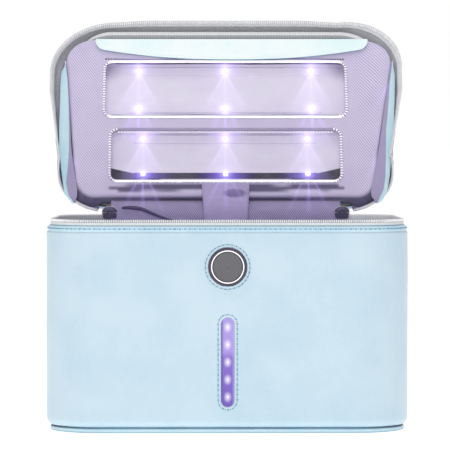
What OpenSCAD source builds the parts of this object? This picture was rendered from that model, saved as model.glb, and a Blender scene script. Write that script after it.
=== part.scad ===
/* [Body] */
// Width of the body from side to side
body_w = 330; // [310:1:360]
// Depth of the body from front to back
body_d = 205; // [195:1:230]
// Height of the padded wall's top edge
wall_top = 186.2; // [180:0.2:210]
// Radius of the upright corners in plan
corner_r = 52; // [48:0.5:56]
// Thickness of the leather
leather_t = 1.4; // [1:0.1:1.8]
// Thickness of the stiff board in the walls and the lid
board_t = 3.5; // [3:0.1:5]
// Thickness of the lining
lining_t = 1.2; // [0.8:0.1:1.6]

/* [Base and rim] */
// Thickness of the base panel
base_t = 4.2; // [3.4:0.1:5]
// How far the base panel sits in from the wall
base_inset = 4.7; // [4:0.1:6]
// Radius of the base panel's lower edge
base_edge_r = 3; // [2:0.1:3.2]
// Height of the turned seam between the base and the wall
welt_h = 1.3; // [1:0.1:2]
// Height over which the wall curls in to the seam
curl_h = 9; // [7:0.5:11]
// Height of the folded collar on top of the wall
collar_h = 3.6; // [3:0.1:5]
// How far the collar sits in from the wall
collar_inset = 2.2; // [1.6:0.1:2.6]

/* [Zip] */
// Height of the tape that stands out of the collar
tape_h = 4.2; // [3.6:0.1:6]
// Thickness of the tape
tape_t = 1.2; // [0.9:0.1:1.4]
// Distance from the wall's outer face to the middle of the body's tape
tape_inset = 4.2; // [4:0.1:4.6]
// Radius of the coil
coil_r = 1.1; // [0.9:0.05:1.2]
// Distance from a slider's middle to the zip's end
zip_end = 7; // [6:0.5:9]
// Length of a slider
slider_l = 13; // [10:0.5:14]
// Thickness of a slider's plates
slider_plate_t = 1.4; // [1:0.1:1.6]
// Length of a pull tab from its eye
pull_l = 28; // [20:1:36]
// Width of a pull tab
pull_w = 7; // [5:0.5:9]

/* [Lid] */
// How far the lid is turned back from closed, in degrees
open_angle = 123; // [115:1:130]
// Height of the lid above the wall's top edge when closed
lid_rise = 34.8; // [33:0.2:40]
// How far the lid's leather sits in from the wall's outer face
lid_inset = 1.5; // [1:0.1:2.4]
// Radius of the lid's top edge
lid_edge_r = 4; // [3:0.5:5]
// Depth of the lid's leather edge
lid_edge_h = 6.5; // [6:0.1:8]
// Flare of the zip band at the front
flare_front = 7.5; // [5:0.5:10]
// Flare of the zip band at the front of the sides
flare_side = 11; // [7:0.5:13]
// Flare of the zip band at the back of the sides
flare_waist = -1.5; // [-2:0.5:2]
// Flare of the zip band round the back corners
flare_back = 8.5; // [6:0.5:9]

/* [Light panel] */
// Height of the light panel in the lid
panel_h = 14.6; // [13:0.1:16]
// Distance from the wall's outer face to the light panel at its front corners
panel_side_gap = 6; // [5:0.5:12]
// How much narrower each side of the light panel is at the back
panel_taper = 11; // [8:0.5:18]
// Distance from the lid's front to the light panel
panel_front_gap = 12; // [11:0.5:16]
// Distance from the hinge line to the light panel
panel_back_gap = 7; // [6:0.5:10]
// Distance from the light panel's front corner to the front window's side
window_a_margin = 37; // [34:0.5:48]
// Distance from the light panel's back corner to the rear window's side
window_b_margin = 32.5; // [30:0.5:42]
// Space between the front flap and the front window
window_a_gap = 0.5; // [0.5:0.1:4]
// Share of the windows' depth that the front window takes
window_a_share = 0.5188; // [0.48:0.0001:0.54]
// Distance from the hinge line to the rear window
window_b_gap = 22.3; // [20:0.5:26]
// Space between the two windows
window_space = 11; // [9:0.5:13]
// Corner radius of a window's bead
window_r = 10; // [8:0.5:14]
// Width of a window's bead
bead_w = 3.2; // [2.4:0.1:4]
// Height of a window's bead
bead_h = 1.5; // [1:0.1:1.8]
// Thickness of a clear window
window_t = 0.8; // [0.5:0.1:1]
// Distance between lamps along a strip of the front window
lamp_pitch_a = 86; // [70:1:90]
// Distance between lamps along a strip of the rear window
lamp_pitch_b = 81; // [66:1:84]

/* [Flaps] */
// Length of the front flap from end to end
flap_front_w = 272; // [240:1:280]
// Depth of the front flap in the middle
flap_front_d = 25; // [20:0.5:26]
// How much shallower the front flap is near its ends
flap_front_bow = 13.4; // [10:0.2:15]
// Thickness of a flap
flap_t = 1.4; // [1:0.1:1.6]
// Width of a side flap at its front end
flap_side_front = 8; // [6:0.5:9]
// Width of a side flap at its back end
flap_side_back = 13; // [10:0.5:14]

/* [Button and indicator] */
// Height of the button's centre
button_z = 152.8; // [150:0.2:156]
// Radius of the button's bezel
bezel_r = 17.8; // [17.4:0.1:20]
// Radius of the push cap
cap_r = 13.62; // [12.5:0.01:13.7]
// Travel of the push cap
cap_travel = 0.8; // [0.5:0.1:1]
// Height of the indicator's centre
indicator_z = 65.6; // [60:0.2:68]
// Width of the indicator window
indicator_w = 12; // [10:0.2:14]
// Length of the indicator window
indicator_l = 81.8; // [70:0.2:84]
// Distance between the indicator's lamps
indicator_pitch = 16; // [13:0.2:16]
// Sideways place of the power inlet
inlet_x = 88; // [70:1:92]
// Height of the power inlet
inlet_z = 32.5; // [30:0.5:40]

/* [Hidden] */

$fn = 96;
eps = 0.01;
arc_steps = 10;
board_steps = arc_steps - 1;

leather_colour = "#CEE4F0";
leather_edge_colour = "#A5D0E3";
flap_colour = "#E2F8FA";
welt_colour = "#6E8796";
lining_colour = "#C9BFDD";
shade_colour = "#756A94";
tape_colour = "#DCDFE2";
coil_colour = "#EEF0F2";
board_colour = "#8C8C88";
button_colour = "#717276";
bezel_colour = "#4A4A52";
glow_colour = "#F4F2FA";
lens_colour = "#8F74C8";
circuit_colour = "#2F5A48";
metal_colour = "#9A9CA0";
cover_colour = "#D9DDE0";
window_colour = "#DDD4EE";
bead_colour = "#F2F1F5";
mirror_colour = "#B9A9DC";

wall_t = leather_t + board_t + lining_t;
seam_z = base_t + welt_h;
curl_r = (curl_h * curl_h + base_inset * base_inset) / (2 * base_inset);
curl_angle = asin(curl_h / curl_r);
board_curl_angle = curl_angle * board_steps / arc_steps;
lead_gap = 0.1;
centre_x = body_w / 2 - corner_r;
centre_y = body_d / 2 - corner_r;
zip_gap = centre_x - zip_end;
floor_z = seam_z + curl_h - (curl_r - leather_t) * sin(board_curl_angle);
floor_top = floor_z + lining_t;
collar_top = wall_top + collar_h;
coil_z = collar_top + tape_h + coil_r - 0.1;
coil_top = coil_z + coil_r;

hinge_y = body_d / 2;
hinge_rise = 18.8;
hinge_z = wall_top + hinge_rise;
lid_top = wall_top + lid_rise;
lid_coil_z = coil_top + 1.4 + coil_r;
panel_z = lid_top - leather_t - board_t - panel_h;
lid_board_z = lid_top - leather_t - board_t;
band_z = lid_top - lid_edge_h;
lid_coil_end_z = hinge_z + 0.5;

panel_front_w = body_w / 2 - panel_side_gap;
panel_back_w = panel_front_w - panel_taper;
panel_front_y = -body_d / 2 + panel_front_gap;
panel_back_y = hinge_y - panel_back_gap;
panel_front_r = 36;
panel_back_r = 22;
panel_axis = [panel_back_w - panel_back_r - panel_front_w + panel_front_r,
              panel_back_y - panel_back_r - panel_front_y - panel_front_r];
panel_side_angle = atan2(panel_axis[1], panel_axis[0])
                   - acos((panel_front_r - panel_back_r) / norm(panel_axis));

flap_gap = 0.3;
flap_root_y = panel_front_y + 1.2;
window_a_front = flap_root_y + flap_front_d + window_a_gap;
window_room = hinge_y - window_b_gap - window_space - window_a_front;
window_a_w = 2 * (panel_front_w - window_a_margin);
window_b_w = 2 * (panel_back_w - window_b_margin);
window_a_d = window_room * window_a_share;
window_b_d = window_room - window_a_d;
window_a_y = window_a_front + window_a_d / 2;
window_b_y = hinge_y - window_b_gap - window_b_d / 2;
window_lap = 3;
lamp_edge = 8.4;
reflector_t = 0.8;
reflector_z = panel_z + 8.6;
strip_w = 9;
strip_t = 1.2;
lamp_size = 5;
lamp_t = 1.6;

barrel_r = bezel_r - 1.5;
barrel_l = 13;
bezel_proud = 1.8;
cap_back = 1.6;
switch_face = 6.6;
switch_gap = 0.4;
cap_gap = 0.08;
cover_depth = 16;
cover_w = 92;
cover_wall = 1.8;
circuit_w = 72;
circuit_drop = 34;
circuit_t = 1.6;
relay_x = 24;
chip_y = 18;
cover_low = indicator_z - indicator_l / 2 - 10;
cover_high = button_z + bezel_r + 3;
lens_flange = 3;
lens_t = 1.2;

// Points on an arc, from one angle to another
function arc(cx, cy, r, from, to, steps = arc_steps) =
    [for (i = [0:steps]) let (a = from + (to - from) * i / steps) [cx + r * cos(a), cy + r * sin(a)]];

// A curve from 0 to 1 that starts and ends level
function ease(t) = let (u = min(1, max(0, t))) u * u * (3 - 2 * u);

// Points beside a line, used to give a strip its thickness
function beside(line, gap) = [
    for (i = [0:len(line) - 1])
        let (before = line[max(0, i - 1)])
        let (after = line[min(len(line) - 1, i + 1)])
        let (run = (after - before) / norm(after - before))
        line[i] + gap * [-run[1], run[0]]
];
function reversed(line) = [for (i = [len(line) - 1:-1:0]) line[i]];

// The light panel's outline, with its back narrower than its front
function panel_outline(out) = concat(
    arc(panel_back_w - panel_back_r, panel_back_y - panel_back_r, panel_back_r + out, panel_side_angle, 90),
    arc(panel_back_r - panel_back_w, panel_back_y - panel_back_r, panel_back_r + out, 90,
        180 - panel_side_angle),
    arc(panel_front_r - panel_front_w, panel_front_y + panel_front_r, panel_front_r + out,
        180 - panel_side_angle, 270),
    arc(panel_front_w - panel_front_r, panel_front_y + panel_front_r, panel_front_r + out, 270,
        360 + panel_side_angle)
);

// A rounded rectangle
module plan(w, d, r) {
    square([w, d - 2 * r], center = true);
    square([w - 2 * r, d], center = true);
    for (sx = [-1, 1], sy = [-1, 1])
        translate([sx * (w / 2 - r), sy * (d / 2 - r)]) circle(r);
}

// The body's outline, moved in from the outer face of the wall
module body_plan(inset) {
    plan(body_w - 2 * inset, body_d - 2 * inset, corner_r - inset);
}

// A profile swept round a rounded rectangle: x is outward from its edge, y is up
module sweep_round(w, d, r) {
    for (i = [0:3])
        translate([(i == 0 || i == 3 ? 1 : -1) * (w / 2 - r), (i < 2 ? 1 : -1) * (d / 2 - r), 0])
            rotate([0, 0, 90 * i]) rotate_extrude(angle = 90) translate([r, 0]) children();
    for (i = [0:3])
        rotate([0, 0, 90 * i]) translate([(i % 2 == 0 ? w : d) / 2, 0, 0]) rotate([90, 0, 0])
            linear_extrude(height = (i % 2 == 0 ? d : w) - 2 * r, center = true) children();
}
module sweep_body() {
    sweep_round(body_w, body_d, corner_r) children();
}

// Places its children on the front wall: +Z goes into the box from the outer face
module at_front(z) {
    translate([0, -body_d / 2, z]) rotate([-90, 0, 0]) children();
}
// Places its children on the back wall in the same way
module at_back(x, z) {
    translate([x, body_d / 2, z]) rotate([90, 0, 0]) children();
}
// Turns the closed lid back to where it rests open
module at_lid() {
    translate([0, hinge_y, hinge_z]) rotate([-open_angle, 0, 0])
        translate([0, -hinge_y, -hinge_z]) children();
}
// A slot with round ends, upright on the front wall
module slot(w, l) {
    square([w, l - w], center = true);
    for (s = [-1, 1]) translate([0, s * (l - w) / 2]) circle(w / 2);
}

module base_panel() {
    edge_inset = base_inset + base_edge_r;
    color(leather_edge_colour) union() {
        linear_extrude(base_t) body_plan(edge_inset);
        sweep_body() translate([-base_inset, 0])
            polygon(concat(arc(-base_edge_r, base_edge_r, base_edge_r, -90, 0),
                           [[0, base_t], [-base_edge_r - eps, base_t], [-base_edge_r - eps, 0]]));
    }
}

module base_board() {
    color(board_colour) translate([0, 0, base_t]) linear_extrude(floor_z - base_t - 0.1)
        body_plan(base_inset + 3);
}

module base_welt() {
    color(welt_colour) sweep_body() translate([-base_inset - 2.8, base_t]) square([1.6, welt_h]);
}

// The wall's leather curls in at the bottom and turns over at the top
module body_shell() {
    color(leather_colour) difference() {
        sweep_body() polygon(concat(
            arc(-curl_r, seam_z + curl_h, curl_r, -curl_angle, 0),
            arc(-leather_t, wall_top - leather_t, leather_t, 0, 90, 4),
            reversed(arc(-curl_r, seam_z + curl_h, curl_r - leather_t, -curl_angle, 0))));
        at_front(button_z) translate([0, 0, -1]) cylinder(h = wall_t + 2, r = barrel_r + 0.1);
        at_front(indicator_z) translate([0, 0, -1]) linear_extrude(wall_t + 2)
            slot(indicator_w, indicator_l);
        at_back(inlet_x, inlet_z) translate([0, 0, -1]) linear_extrude(wall_t + 2)
            plan(12.2, 7.2, 2);
    }
}

// The lead's route in the wall: along the right side to the back, then up to the hinge
module lead_route(slack) {
    band = 4 + 2 * slack;
    deep = 1.2 + slack;
    difference() {
        sweep_body() translate([-leather_t - board_t, inlet_z + 9 - slack]) square([deep, band]);
        translate([-body_w, -body_d / 2 - 5, 0])
            cube([body_w + cover_w / 2 - 6, body_d / 2 + 5, wall_top]);
        translate([-body_w - 2 - slack, -1, 0]) cube([body_w, body_d, wall_top]);
    }
    translate([-2 - slack, body_d / 2 - leather_t - board_t, inlet_z + 9 - slack])
        cube([4 + 2 * slack, deep, wall_top - 12 - inlet_z - 9 + 2 * slack]);
}

module body_board() {
    color(board_colour) difference() {
        sweep_body() polygon(concat(
            arc(-curl_r, seam_z + curl_h, curl_r - leather_t, -board_curl_angle, 0, board_steps),
            [[-leather_t, wall_top], [-leather_t - board_t, wall_top], [-leather_t - board_t, floor_z]]));
        at_front(button_z) cylinder(h = wall_t + 2, r = barrel_r + 0.1);
        at_front(indicator_z) linear_extrude(wall_t + 2)
            slot(indicator_w + 2 * lens_flange + 0.4, indicator_l + 2 * lens_flange + 0.4);
        at_back(inlet_x, inlet_z) linear_extrude(wall_t + 2) plan(12.2, 7.2, 2);
        lead_route(lead_gap);
    }
}

module body_lining() {
    color(lining_colour) difference() {
        sweep_body() translate([-wall_t, floor_top]) square([lining_t, wall_top - floor_top]);
        at_front(button_z) cylinder(h = wall_t + 2, r = barrel_r + 0.1);
        at_front(indicator_z) linear_extrude(wall_t + 2)
            slot(indicator_w + 2 * lens_flange + 0.4, indicator_l + 2 * lens_flange + 0.4);
        at_back(inlet_x, inlet_z) linear_extrude(wall_t + 2) plan(12.2, 7.2, 2);
        translate([-2.5, body_d / 2 - wall_t - 1, wall_top - 18]) cube([5, lining_t + 2, 6]);
    }
}

module floor_lining() {
    color(lining_colour) translate([0, 0, floor_z]) linear_extrude(lining_t)
        body_plan(leather_t + board_t + 0.1);
}

// The collar is leather folded over the wall's top edge
module rim_collar() {
    color(leather_edge_colour) sweep_body() polygon(concat(
        [[-collar_inset, wall_top]],
        arc(-collar_inset - 1.4, collar_top - 1.4, 1.4, 0, 90, 5),
        arc(-wall_t + 1, collar_top - 0.8, 0.8, 90, 180, 4),
        [[-wall_t + 0.2, wall_top]]));
}

// Takes away the stretch at the back that has no zip
module without_back() {
    difference() {
        children();
        translate([-zip_gap, 0, collar_top - 1]) cube([2 * zip_gap, body_d, 20]);
    }
}

module body_zip_tape() {
    color(tape_colour) without_back() sweep_body()
        translate([-tape_inset - tape_t / 2, collar_top]) square([tape_t, tape_h]);
}

module body_zip_coil() {
    color(coil_colour) without_back() sweep_body() translate([-tape_inset, coil_z]) difference() {
        circle(coil_r);
        translate([-coil_r, -2 * coil_r]) square([2 * coil_r, coil_r + 0.1]);
    }
}

module button_bezel() {
    color(bezel_colour) at_front(button_z) rotate_extrude() polygon([
        [cap_r + cap_gap, -bezel_proud + 0.4], [cap_r + cap_gap + 0.35, -bezel_proud],
        [cap_r + 0.55, -bezel_proud], [cap_r + 0.55, -0.2], [cap_r + 2.15, -0.2],
        [cap_r + 2.15, -bezel_proud], [bezel_r - 0.8, -bezel_proud], [bezel_r, -bezel_proud + 0.9],
        [bezel_r, 0], [barrel_r, 0], [barrel_r, barrel_l], [cap_r + cap_gap, barrel_l]]);
}

module button_light_ring() {
    color(glow_colour) at_front(button_z) translate([0, 0, -bezel_proud - 0.1]) difference() {
        cylinder(h = bezel_proud - 0.1, r = cap_r + 2.1);
        translate([0, 0, -1]) cylinder(h = bezel_proud + 2, r = cap_r + 0.6);
    }
}

module power_button() {
    stem = switch_face - cap_travel - switch_gap;
    color(button_colour) at_front(button_z) rotate_extrude() polygon([
        [0, -1.1], [cap_r - 1.6, -1.25], [cap_r - 1, -1.5], [cap_r - 0.3, -1.5], [cap_r, -1.2],
        [cap_r, cap_back], [3.5, cap_back], [3.5, stem], [0, stem]]);
}

// A wire wound between the cap and the switch
module button_spring() {
    turns = 3;
    per_turn = 16;
    sides = 6;
    wire_r = 0.4;
    low = cap_back + wire_r + 0.1;
    high = switch_face - wire_r - 0.1;
    count = turns * per_turn;
    points = [for (i = [0:count], k = [0:sides - 1])
        let (a = 360 * i / per_turn)
        let (r = 9 + wire_r * cos(360 * k / sides))
        [r * cos(a), r * sin(a), low + (high - low) * i / count + wire_r * sin(360 * k / sides)]];
    skin = [for (i = [0:count - 1], k = [0:sides - 1])
        let (a = i * sides + k)
        let (b = i * sides + (k + 1) % sides)
        each [[a, b, b + sides], [a, b + sides, a + sides]]];
    ends = [[for (k = [0:sides - 1]) sides - 1 - k], [for (k = [0:sides - 1]) count * sides + k]];
    color(metal_colour) at_front(button_z) polyhedron(points, concat(skin, ends), convexity = 6);
}

module switch_body() {
    color(bezel_colour) at_front(button_z) translate([0, 0, switch_face]) difference() {
        cylinder(h = barrel_l - switch_face, r = cap_r - 0.1);
        translate([0, 0, -1]) cylinder(h = 1 + switch_gap, r = 6);
    }
}

module button_nut() {
    color(metal_colour) at_front(button_z) translate([0, 0, wall_t]) difference() {
        cylinder(h = 3.5, r = barrel_r + 3, $fn = 6);
        translate([0, 0, -1]) cylinder(h = 6, r = barrel_r + 0.05);
    }
}

module indicator_lens() {
    color(lens_colour) at_front(indicator_z) union() {
        translate([0, 0, leather_t]) linear_extrude(lens_t)
            slot(indicator_w + 2 * lens_flange, indicator_l + 2 * lens_flange);
        translate([0, 0, 0.5]) linear_extrude(leather_t)
            slot(indicator_w - 0.2, indicator_l - 0.2);
    }
}

module indicator_lamps() {
    color(glow_colour) at_front(indicator_z) for (i = [-2:2])
        translate([0, i * indicator_pitch, leather_t + lens_t + 0.2]) linear_extrude(1.5) plan(5, 5, 0.6);
}

module indicator_board() {
    color(circuit_colour) at_front(indicator_z) translate([0, 0, leather_t + lens_t + 1.7])
        linear_extrude(1.2) plan(indicator_w + 3, indicator_l - 4, 2);
}

module control_board() {
    low = button_z - circuit_drop;
    high = cover_high - cover_wall - 2.2;
    color(circuit_colour) at_front((low + high) / 2) translate([0, 0, barrel_l + 0.1]) union() {
        linear_extrude(circuit_t) plan(circuit_w, high - low, 3);
        for (s = [-1, 1]) translate([s * relay_x, chip_y - 6, -3]) linear_extrude(3 + eps) plan(9, 12, 0.8);
        translate([0, chip_y, -4]) linear_extrude(4 + eps) plan(16, 9, 0.8);
    }
}

// The inner housing covers the switch, the boards and their leads
module control_cover() {
    mid = (cover_low + cover_high) / 2;
    tall = cover_high - cover_low;
    color(cover_colour) at_front(mid) translate([0, 0, wall_t]) difference() {
        union() {
            linear_extrude(cover_depth - 3) plan(cover_w, tall, 8);
            translate([0, 0, cover_depth - 3 - eps]) linear_extrude(3) plan(cover_w - 4, tall - 4, 6);
            linear_extrude(cover_wall) plan(cover_w + 8, tall + 8, 12);
        }
        translate([0, 0, -1]) linear_extrude(cover_depth + 1 - cover_wall)
            plan(cover_w - 2 * cover_wall - 3, tall - 2 * cover_wall - 3, 5);
    }
}

module power_inlet() {
    color(bezel_colour) at_back(inlet_x, inlet_z) difference() {
        union() {
            translate([0, 0, -1]) linear_extrude(1) plan(17, 11, 3);
            linear_extrude(wall_t + 4) plan(12, 7, 2);
        }
        translate([0, 0, -2]) linear_extrude(wall_t + 4) rotate([0, 0, 90]) slot(3.4, 9.2);
    }
}

module inlet_board() {
    color(circuit_colour) at_back(inlet_x, inlet_z) translate([0, 0, wall_t + 4.1])
        linear_extrude(1.2) plan(22, 14, 2);
}

module inlet_cover() {
    color(cover_colour) at_back(inlet_x, inlet_z) translate([0, 0, wall_t]) difference() {
        union() {
            linear_extrude(8) plan(30, 22, 5);
            linear_extrude(1.4) plan(36, 28, 7);
        }
        translate([0, 0, -1]) linear_extrude(7.6) plan(26, 18, 3);
    }
}

module wall_lead() {
    color(bezel_colour) lead_route(0);
}

// A bent sheet across the hinge, from its line in the y and z plane
module hinge_sheet(line, half_w, thick) {
    translate([-half_w, 0, 0]) rotate([90, 0, 90]) linear_extrude(2 * half_w)
        polygon(concat(beside(line, thick / 2), reversed(beside(line, -thick / 2))));
}
hinge_half_w = zip_gap - 9;
sleeve_half_w = 22;

// A line near the hinge, from shares of the hinge's height over the wall
function by_hinge(line) = [for (p = line) [hinge_y, hinge_z] + hinge_rise * p];

// The leather hinge stands on the collar and bends back under the lid's edge
module hinge_strip() {
    line = by_hinge([[-0.154, -0.809], [-0.133, -0.585], [-0.069, -0.394], [0.053, -0.266],
                     [0.192, -0.229], [0.33, -0.266], [0.457, -0.356]]);
    color(leather_colour) hinge_sheet(line, hinge_half_w, leather_t - 0.2);
}

// The lining drops from the light panel into the body behind the hinge
module hinge_lining() {
    inner = -(wall_t + 0.9) / hinge_rise;
    line = by_hinge([[0.266, 0.17], [0.074, 0.064], [-0.128, -0.138], [-0.277, -0.404],
                     [inner + 0.011, -0.692], [inner, -1.011], [inner, -1.596]]);
    color(shade_colour) hinge_sheet(line, hinge_half_w - 1, 0.9);
}

// The sleeve that carries the lead over the hinge
module lead_sleeve() {
    inner = -(wall_t + 2.6) / hinge_rise;
    line = by_hinge([[0.404, 1.08], [0.202, 0.766], [-0.016, 0.436], [-0.192, 0.181], [-0.34, -0.117],
                     [inner + 0.027, -0.452], [inner, -0.798], [inner, -1.436]]);
    color(lining_colour) hinge_sheet(line, sleeve_half_w, 1.6);
}

// The lid's leather is a shallow pan with a rounded edge
module lid_cover() {
    color(leather_colour) at_lid() union() {
        translate([0, 0, lid_top - leather_t]) linear_extrude(leather_t) body_plan(lid_inset + lid_edge_r);
        sweep_body() translate([-lid_inset, band_z]) polygon(concat(
            [[-leather_t, 0], [0, 0]],
            arc(-lid_edge_r, lid_edge_h - lid_edge_r, lid_edge_r, 0, 90, 8),
            [[-lid_edge_r - eps, lid_edge_h], [-lid_edge_r - eps, lid_edge_h - leather_t]],
            reversed(arc(-lid_edge_r, lid_edge_h - lid_edge_r, lid_edge_r - leather_t, 0, 90, 8))));
    }
}

module lid_board() {
    color(board_colour) at_lid() translate([0, 0, lid_board_z]) linear_extrude(board_t)
        body_plan(lid_inset + lid_edge_r);
}

// Places round the lid for the zip band, as corner centre and outward angle
side_steps = 8;
corner_steps = 12;
band_end_angle = 78;
band_places = concat(
    [for (i = [0:corner_steps]) [-centre_x, centre_y, 180 - band_end_angle
        + band_end_angle * i / corner_steps]],
    [for (i = [1:side_steps - 1]) [-centre_x, centre_y - 2 * centre_y * i / side_steps, 180]],
    [for (i = [0:corner_steps]) [-centre_x, -centre_y, 180 + 90 * i / corner_steps]],
    [for (i = [0:corner_steps]) [centre_x, -centre_y, 270 + 90 * i / corner_steps]],
    [for (i = [1:side_steps - 1]) [centre_x, -centre_y + 2 * centre_y * i / side_steps, 360]],
    [for (i = [0:corner_steps]) [centre_x, centre_y, 360 + band_end_angle * i / corner_steps]]
);
// How far a place is round a back corner, from 0 at the side to 1 at the end
function back_turn(p) = p[1] < centre_y ? 0
    : p[2] >= 360 ? (p[2] - 360) / band_end_angle
    : (180 - p[2]) / band_end_angle;
// How far a place is round a front corner, from 0 at the side to 1 at the front
function front_turn(p) = p[2] <= 180 || p[2] >= 360 ? 0 : p[2] <= 270 ? (p[2] - 180) / 90 : (360 - p[2]) / 90;
// How far a side place is from the back corner towards the front one
function side_run(p) = min(1, max(0, (centre_y - p[1]) / (1.55 * centre_y)));
function flare(p) = back_turn(p) > 0
    ? flare_waist + (flare_back - flare_waist) * ease(1.7 * back_turn(p))
    : flare_waist + (flare_side - flare_waist) * side_run(p)
      + (flare_front - flare_side) * ease(front_turn(p));
function coil_height(p) = lid_coil_z + (lid_coil_end_z - lid_coil_z) * ease(back_turn(p));
function beyond(p, out, z) =
    [p[0] + (corner_r + out) * cos(p[2]), p[1] + (corner_r + out) * sin(p[2]), z];

// The soft band flares from the lid's edge to its coil
module lid_zip_tape() {
    n = len(band_places);
    gap = coil_r * 0.9;
    points = [for (p = band_places) each
        let (fall = norm([flare(p) + lid_inset, band_z - coil_height(p)]))
        let (stop = 1 - gap / fall)
        let (out = -lid_inset + (flare(p) + lid_inset) * stop)
        let (low = band_z + (coil_height(p) - band_z) * stop)
        [beyond(p, -lid_inset - 0.1, band_z), beyond(p, out, low), beyond(p, out - tape_t, low),
         beyond(p, -lid_inset - 0.1 - tape_t, band_z)]];
    skin = [for (i = [0:n - 2], k = [0:3])
        let (a = 4 * i + k)
        let (b = 4 * i + (k + 1) % 4)
        each [[a, b + 4, b], [a, a + 4, b + 4]]];
    ends = [[0, 1, 2, 3], [for (k = [0:3]) 4 * n - 1 - k]];
    color(tape_colour) at_lid() polyhedron(points, concat(skin, ends), convexity = 6);
}

module lid_zip_coil() {
    n = len(band_places);
    sides = 8;
    points = [for (p = band_places, k = [0:sides - 1])
        let (a = 360 * k / sides)
        beyond(p, flare(p) + coil_r * cos(a), coil_height(p) + coil_r * sin(a))];
    skin = [for (i = [0:n - 2], k = [0:sides - 1])
        let (a = sides * i + k)
        let (b = sides * i + (k + 1) % sides)
        each [[a, b, b + sides], [a, b + sides, a + sides]]];
    ends = [[for (k = [0:sides - 1]) sides - 1 - k], [for (k = [0:sides - 1]) sides * (n - 1) + k]];
    color(coil_colour) at_lid() polyhedron(points, concat(skin, ends), convexity = 6);
}

// Draws its children at both windows or at one
module at_window(upper) {
    translate([0, upper ? window_a_y : window_b_y, 0]) children();
}
function window_w(upper) = upper ? window_a_w : window_b_w;
function window_d(upper) = upper ? window_a_d : window_b_d;
function pitch(upper) = upper ? lamp_pitch_a : lamp_pitch_b;
// A window's outline, moved out from the bead's inner edge
module window_plan(upper, out) {
    at_window(upper) plan(window_w(upper) - 2 * bead_w + 2 * out, window_d(upper) - 2 * bead_w + 2 * out,
                          window_r - bead_w + out);
}

module panel_backing() {
    low = panel_z + lining_t;
    color(board_colour) at_lid() difference() {
        translate([0, 0, low]) linear_extrude(panel_h - lining_t) polygon(panel_outline(-lining_t - 0.1));
        for (upper = [true, false]) {
            translate([0, 0, low - 1]) linear_extrude(reflector_z + reflector_t - low + 1.1)
                window_plan(upper, 1.1);
            translate([0, 0, low - 1]) linear_extrude(window_t + 1.1) window_plan(upper, window_lap + 0.2);
        }
    }
}

module panel_lining() {
    color(lining_colour) at_lid() difference() {
        translate([0, 0, panel_z]) linear_extrude(panel_h) polygon(panel_outline(0));
        translate([0, 0, panel_z + lining_t]) linear_extrude(panel_h) polygon(panel_outline(-lining_t));
        for (upper = [true, false])
            translate([0, 0, panel_z - 1]) linear_extrude(lining_t + 2) window_plan(upper, 0);
    }
}

// A bright tray behind a window
module reflector(upper) {
    low = panel_z + lining_t + window_t + 0.1;
    color(mirror_colour) at_lid() difference() {
        translate([0, 0, low]) linear_extrude(reflector_z + reflector_t - low) window_plan(upper, 1);
        translate([0, 0, low - 1]) linear_extrude(reflector_z - low + 1) window_plan(upper, 1 - reflector_t);
    }
}
module reflector_upper() { reflector(true); }
module reflector_lower() { reflector(false); }

// The two lamp rows of a window, as distances from its middle
function lamp_rows(upper) = let (half = window_d(upper) / 2 - bead_w)
    upper ? [half - 13.5, lamp_edge - 3.6 - half] : [half - 11.5, lamp_edge - 3 - half];

module lamp_strips(upper) {
    color(circuit_colour) at_lid() at_window(upper) for (row = lamp_rows(upper))
        translate([0, row, reflector_z - strip_t]) linear_extrude(strip_t)
            plan(2 * pitch(upper) + 2 * strip_w, strip_w, 1);
}
module lamp_strips_upper() { lamp_strips(true); }
module lamp_strips_lower() { lamp_strips(false); }

module lamps(upper) {
    color(glow_colour) at_lid() at_window(upper) for (row = lamp_rows(upper), i = [-1:1])
        translate([i * pitch(upper), row, reflector_z - strip_t - lamp_t]) union() {
            linear_extrude(lamp_t) plan(lamp_size, lamp_size, 0.6);
            translate([0, 0, -0.9]) cylinder(h = 0.9 + eps, r1 = 1.1, r2 = 1.8);
        }
}
module lamps_upper() { lamps(true); }
module lamps_lower() { lamps(false); }

module window_sheet(upper) {
    color(window_colour) at_lid() translate([0, 0, panel_z + lining_t]) linear_extrude(window_t)
        window_plan(upper, window_lap);
}
module window_upper() { window_sheet(true); }
module window_lower() { window_sheet(false); }

// A half round bead sewn round a window
module window_bead(upper) {
    color(bead_colour) at_lid() at_window(upper) translate([0, 0, panel_z])
        sweep_round(window_w(upper), window_d(upper), window_r)
            polygon([for (i = [0:10]) let (a = 180 + 18 * i)
                [-bead_w / 2 + bead_w / 2 * cos(a), bead_h * sin(a)]]);
}
module window_bead_upper() { window_bead(true); }
module window_bead_lower() { window_bead(false); }

// The front flap lies on the panel and bows out in the middle
module front_flap() {
    tip_r = 5;
    bow_x = flap_front_w / 2 - 14;
    bow_r = (bow_x * bow_x + flap_front_bow * flap_front_bow) / (2 * flap_front_bow);
    color(flap_colour) at_lid() translate([0, flap_root_y, panel_z - flap_gap - flap_t])
        linear_extrude(flap_t) intersection() {
            translate([0, flap_front_d - bow_r]) circle(bow_r, $fn = 360);
            union() {
                translate([-flap_front_w / 2 + tip_r, 0]) square([flap_front_w - 2 * tip_r, flap_front_d + 1]);
                translate([-flap_front_w / 2, 0]) square([flap_front_w, 2]);
                for (s = [-1, 1]) translate([s * (flap_front_w / 2 - tip_r), 2]) circle(tip_r);
            }
            translate([-flap_front_w, 0]) square([2 * flap_front_w, flap_front_d + 1]);
        }
}

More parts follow.
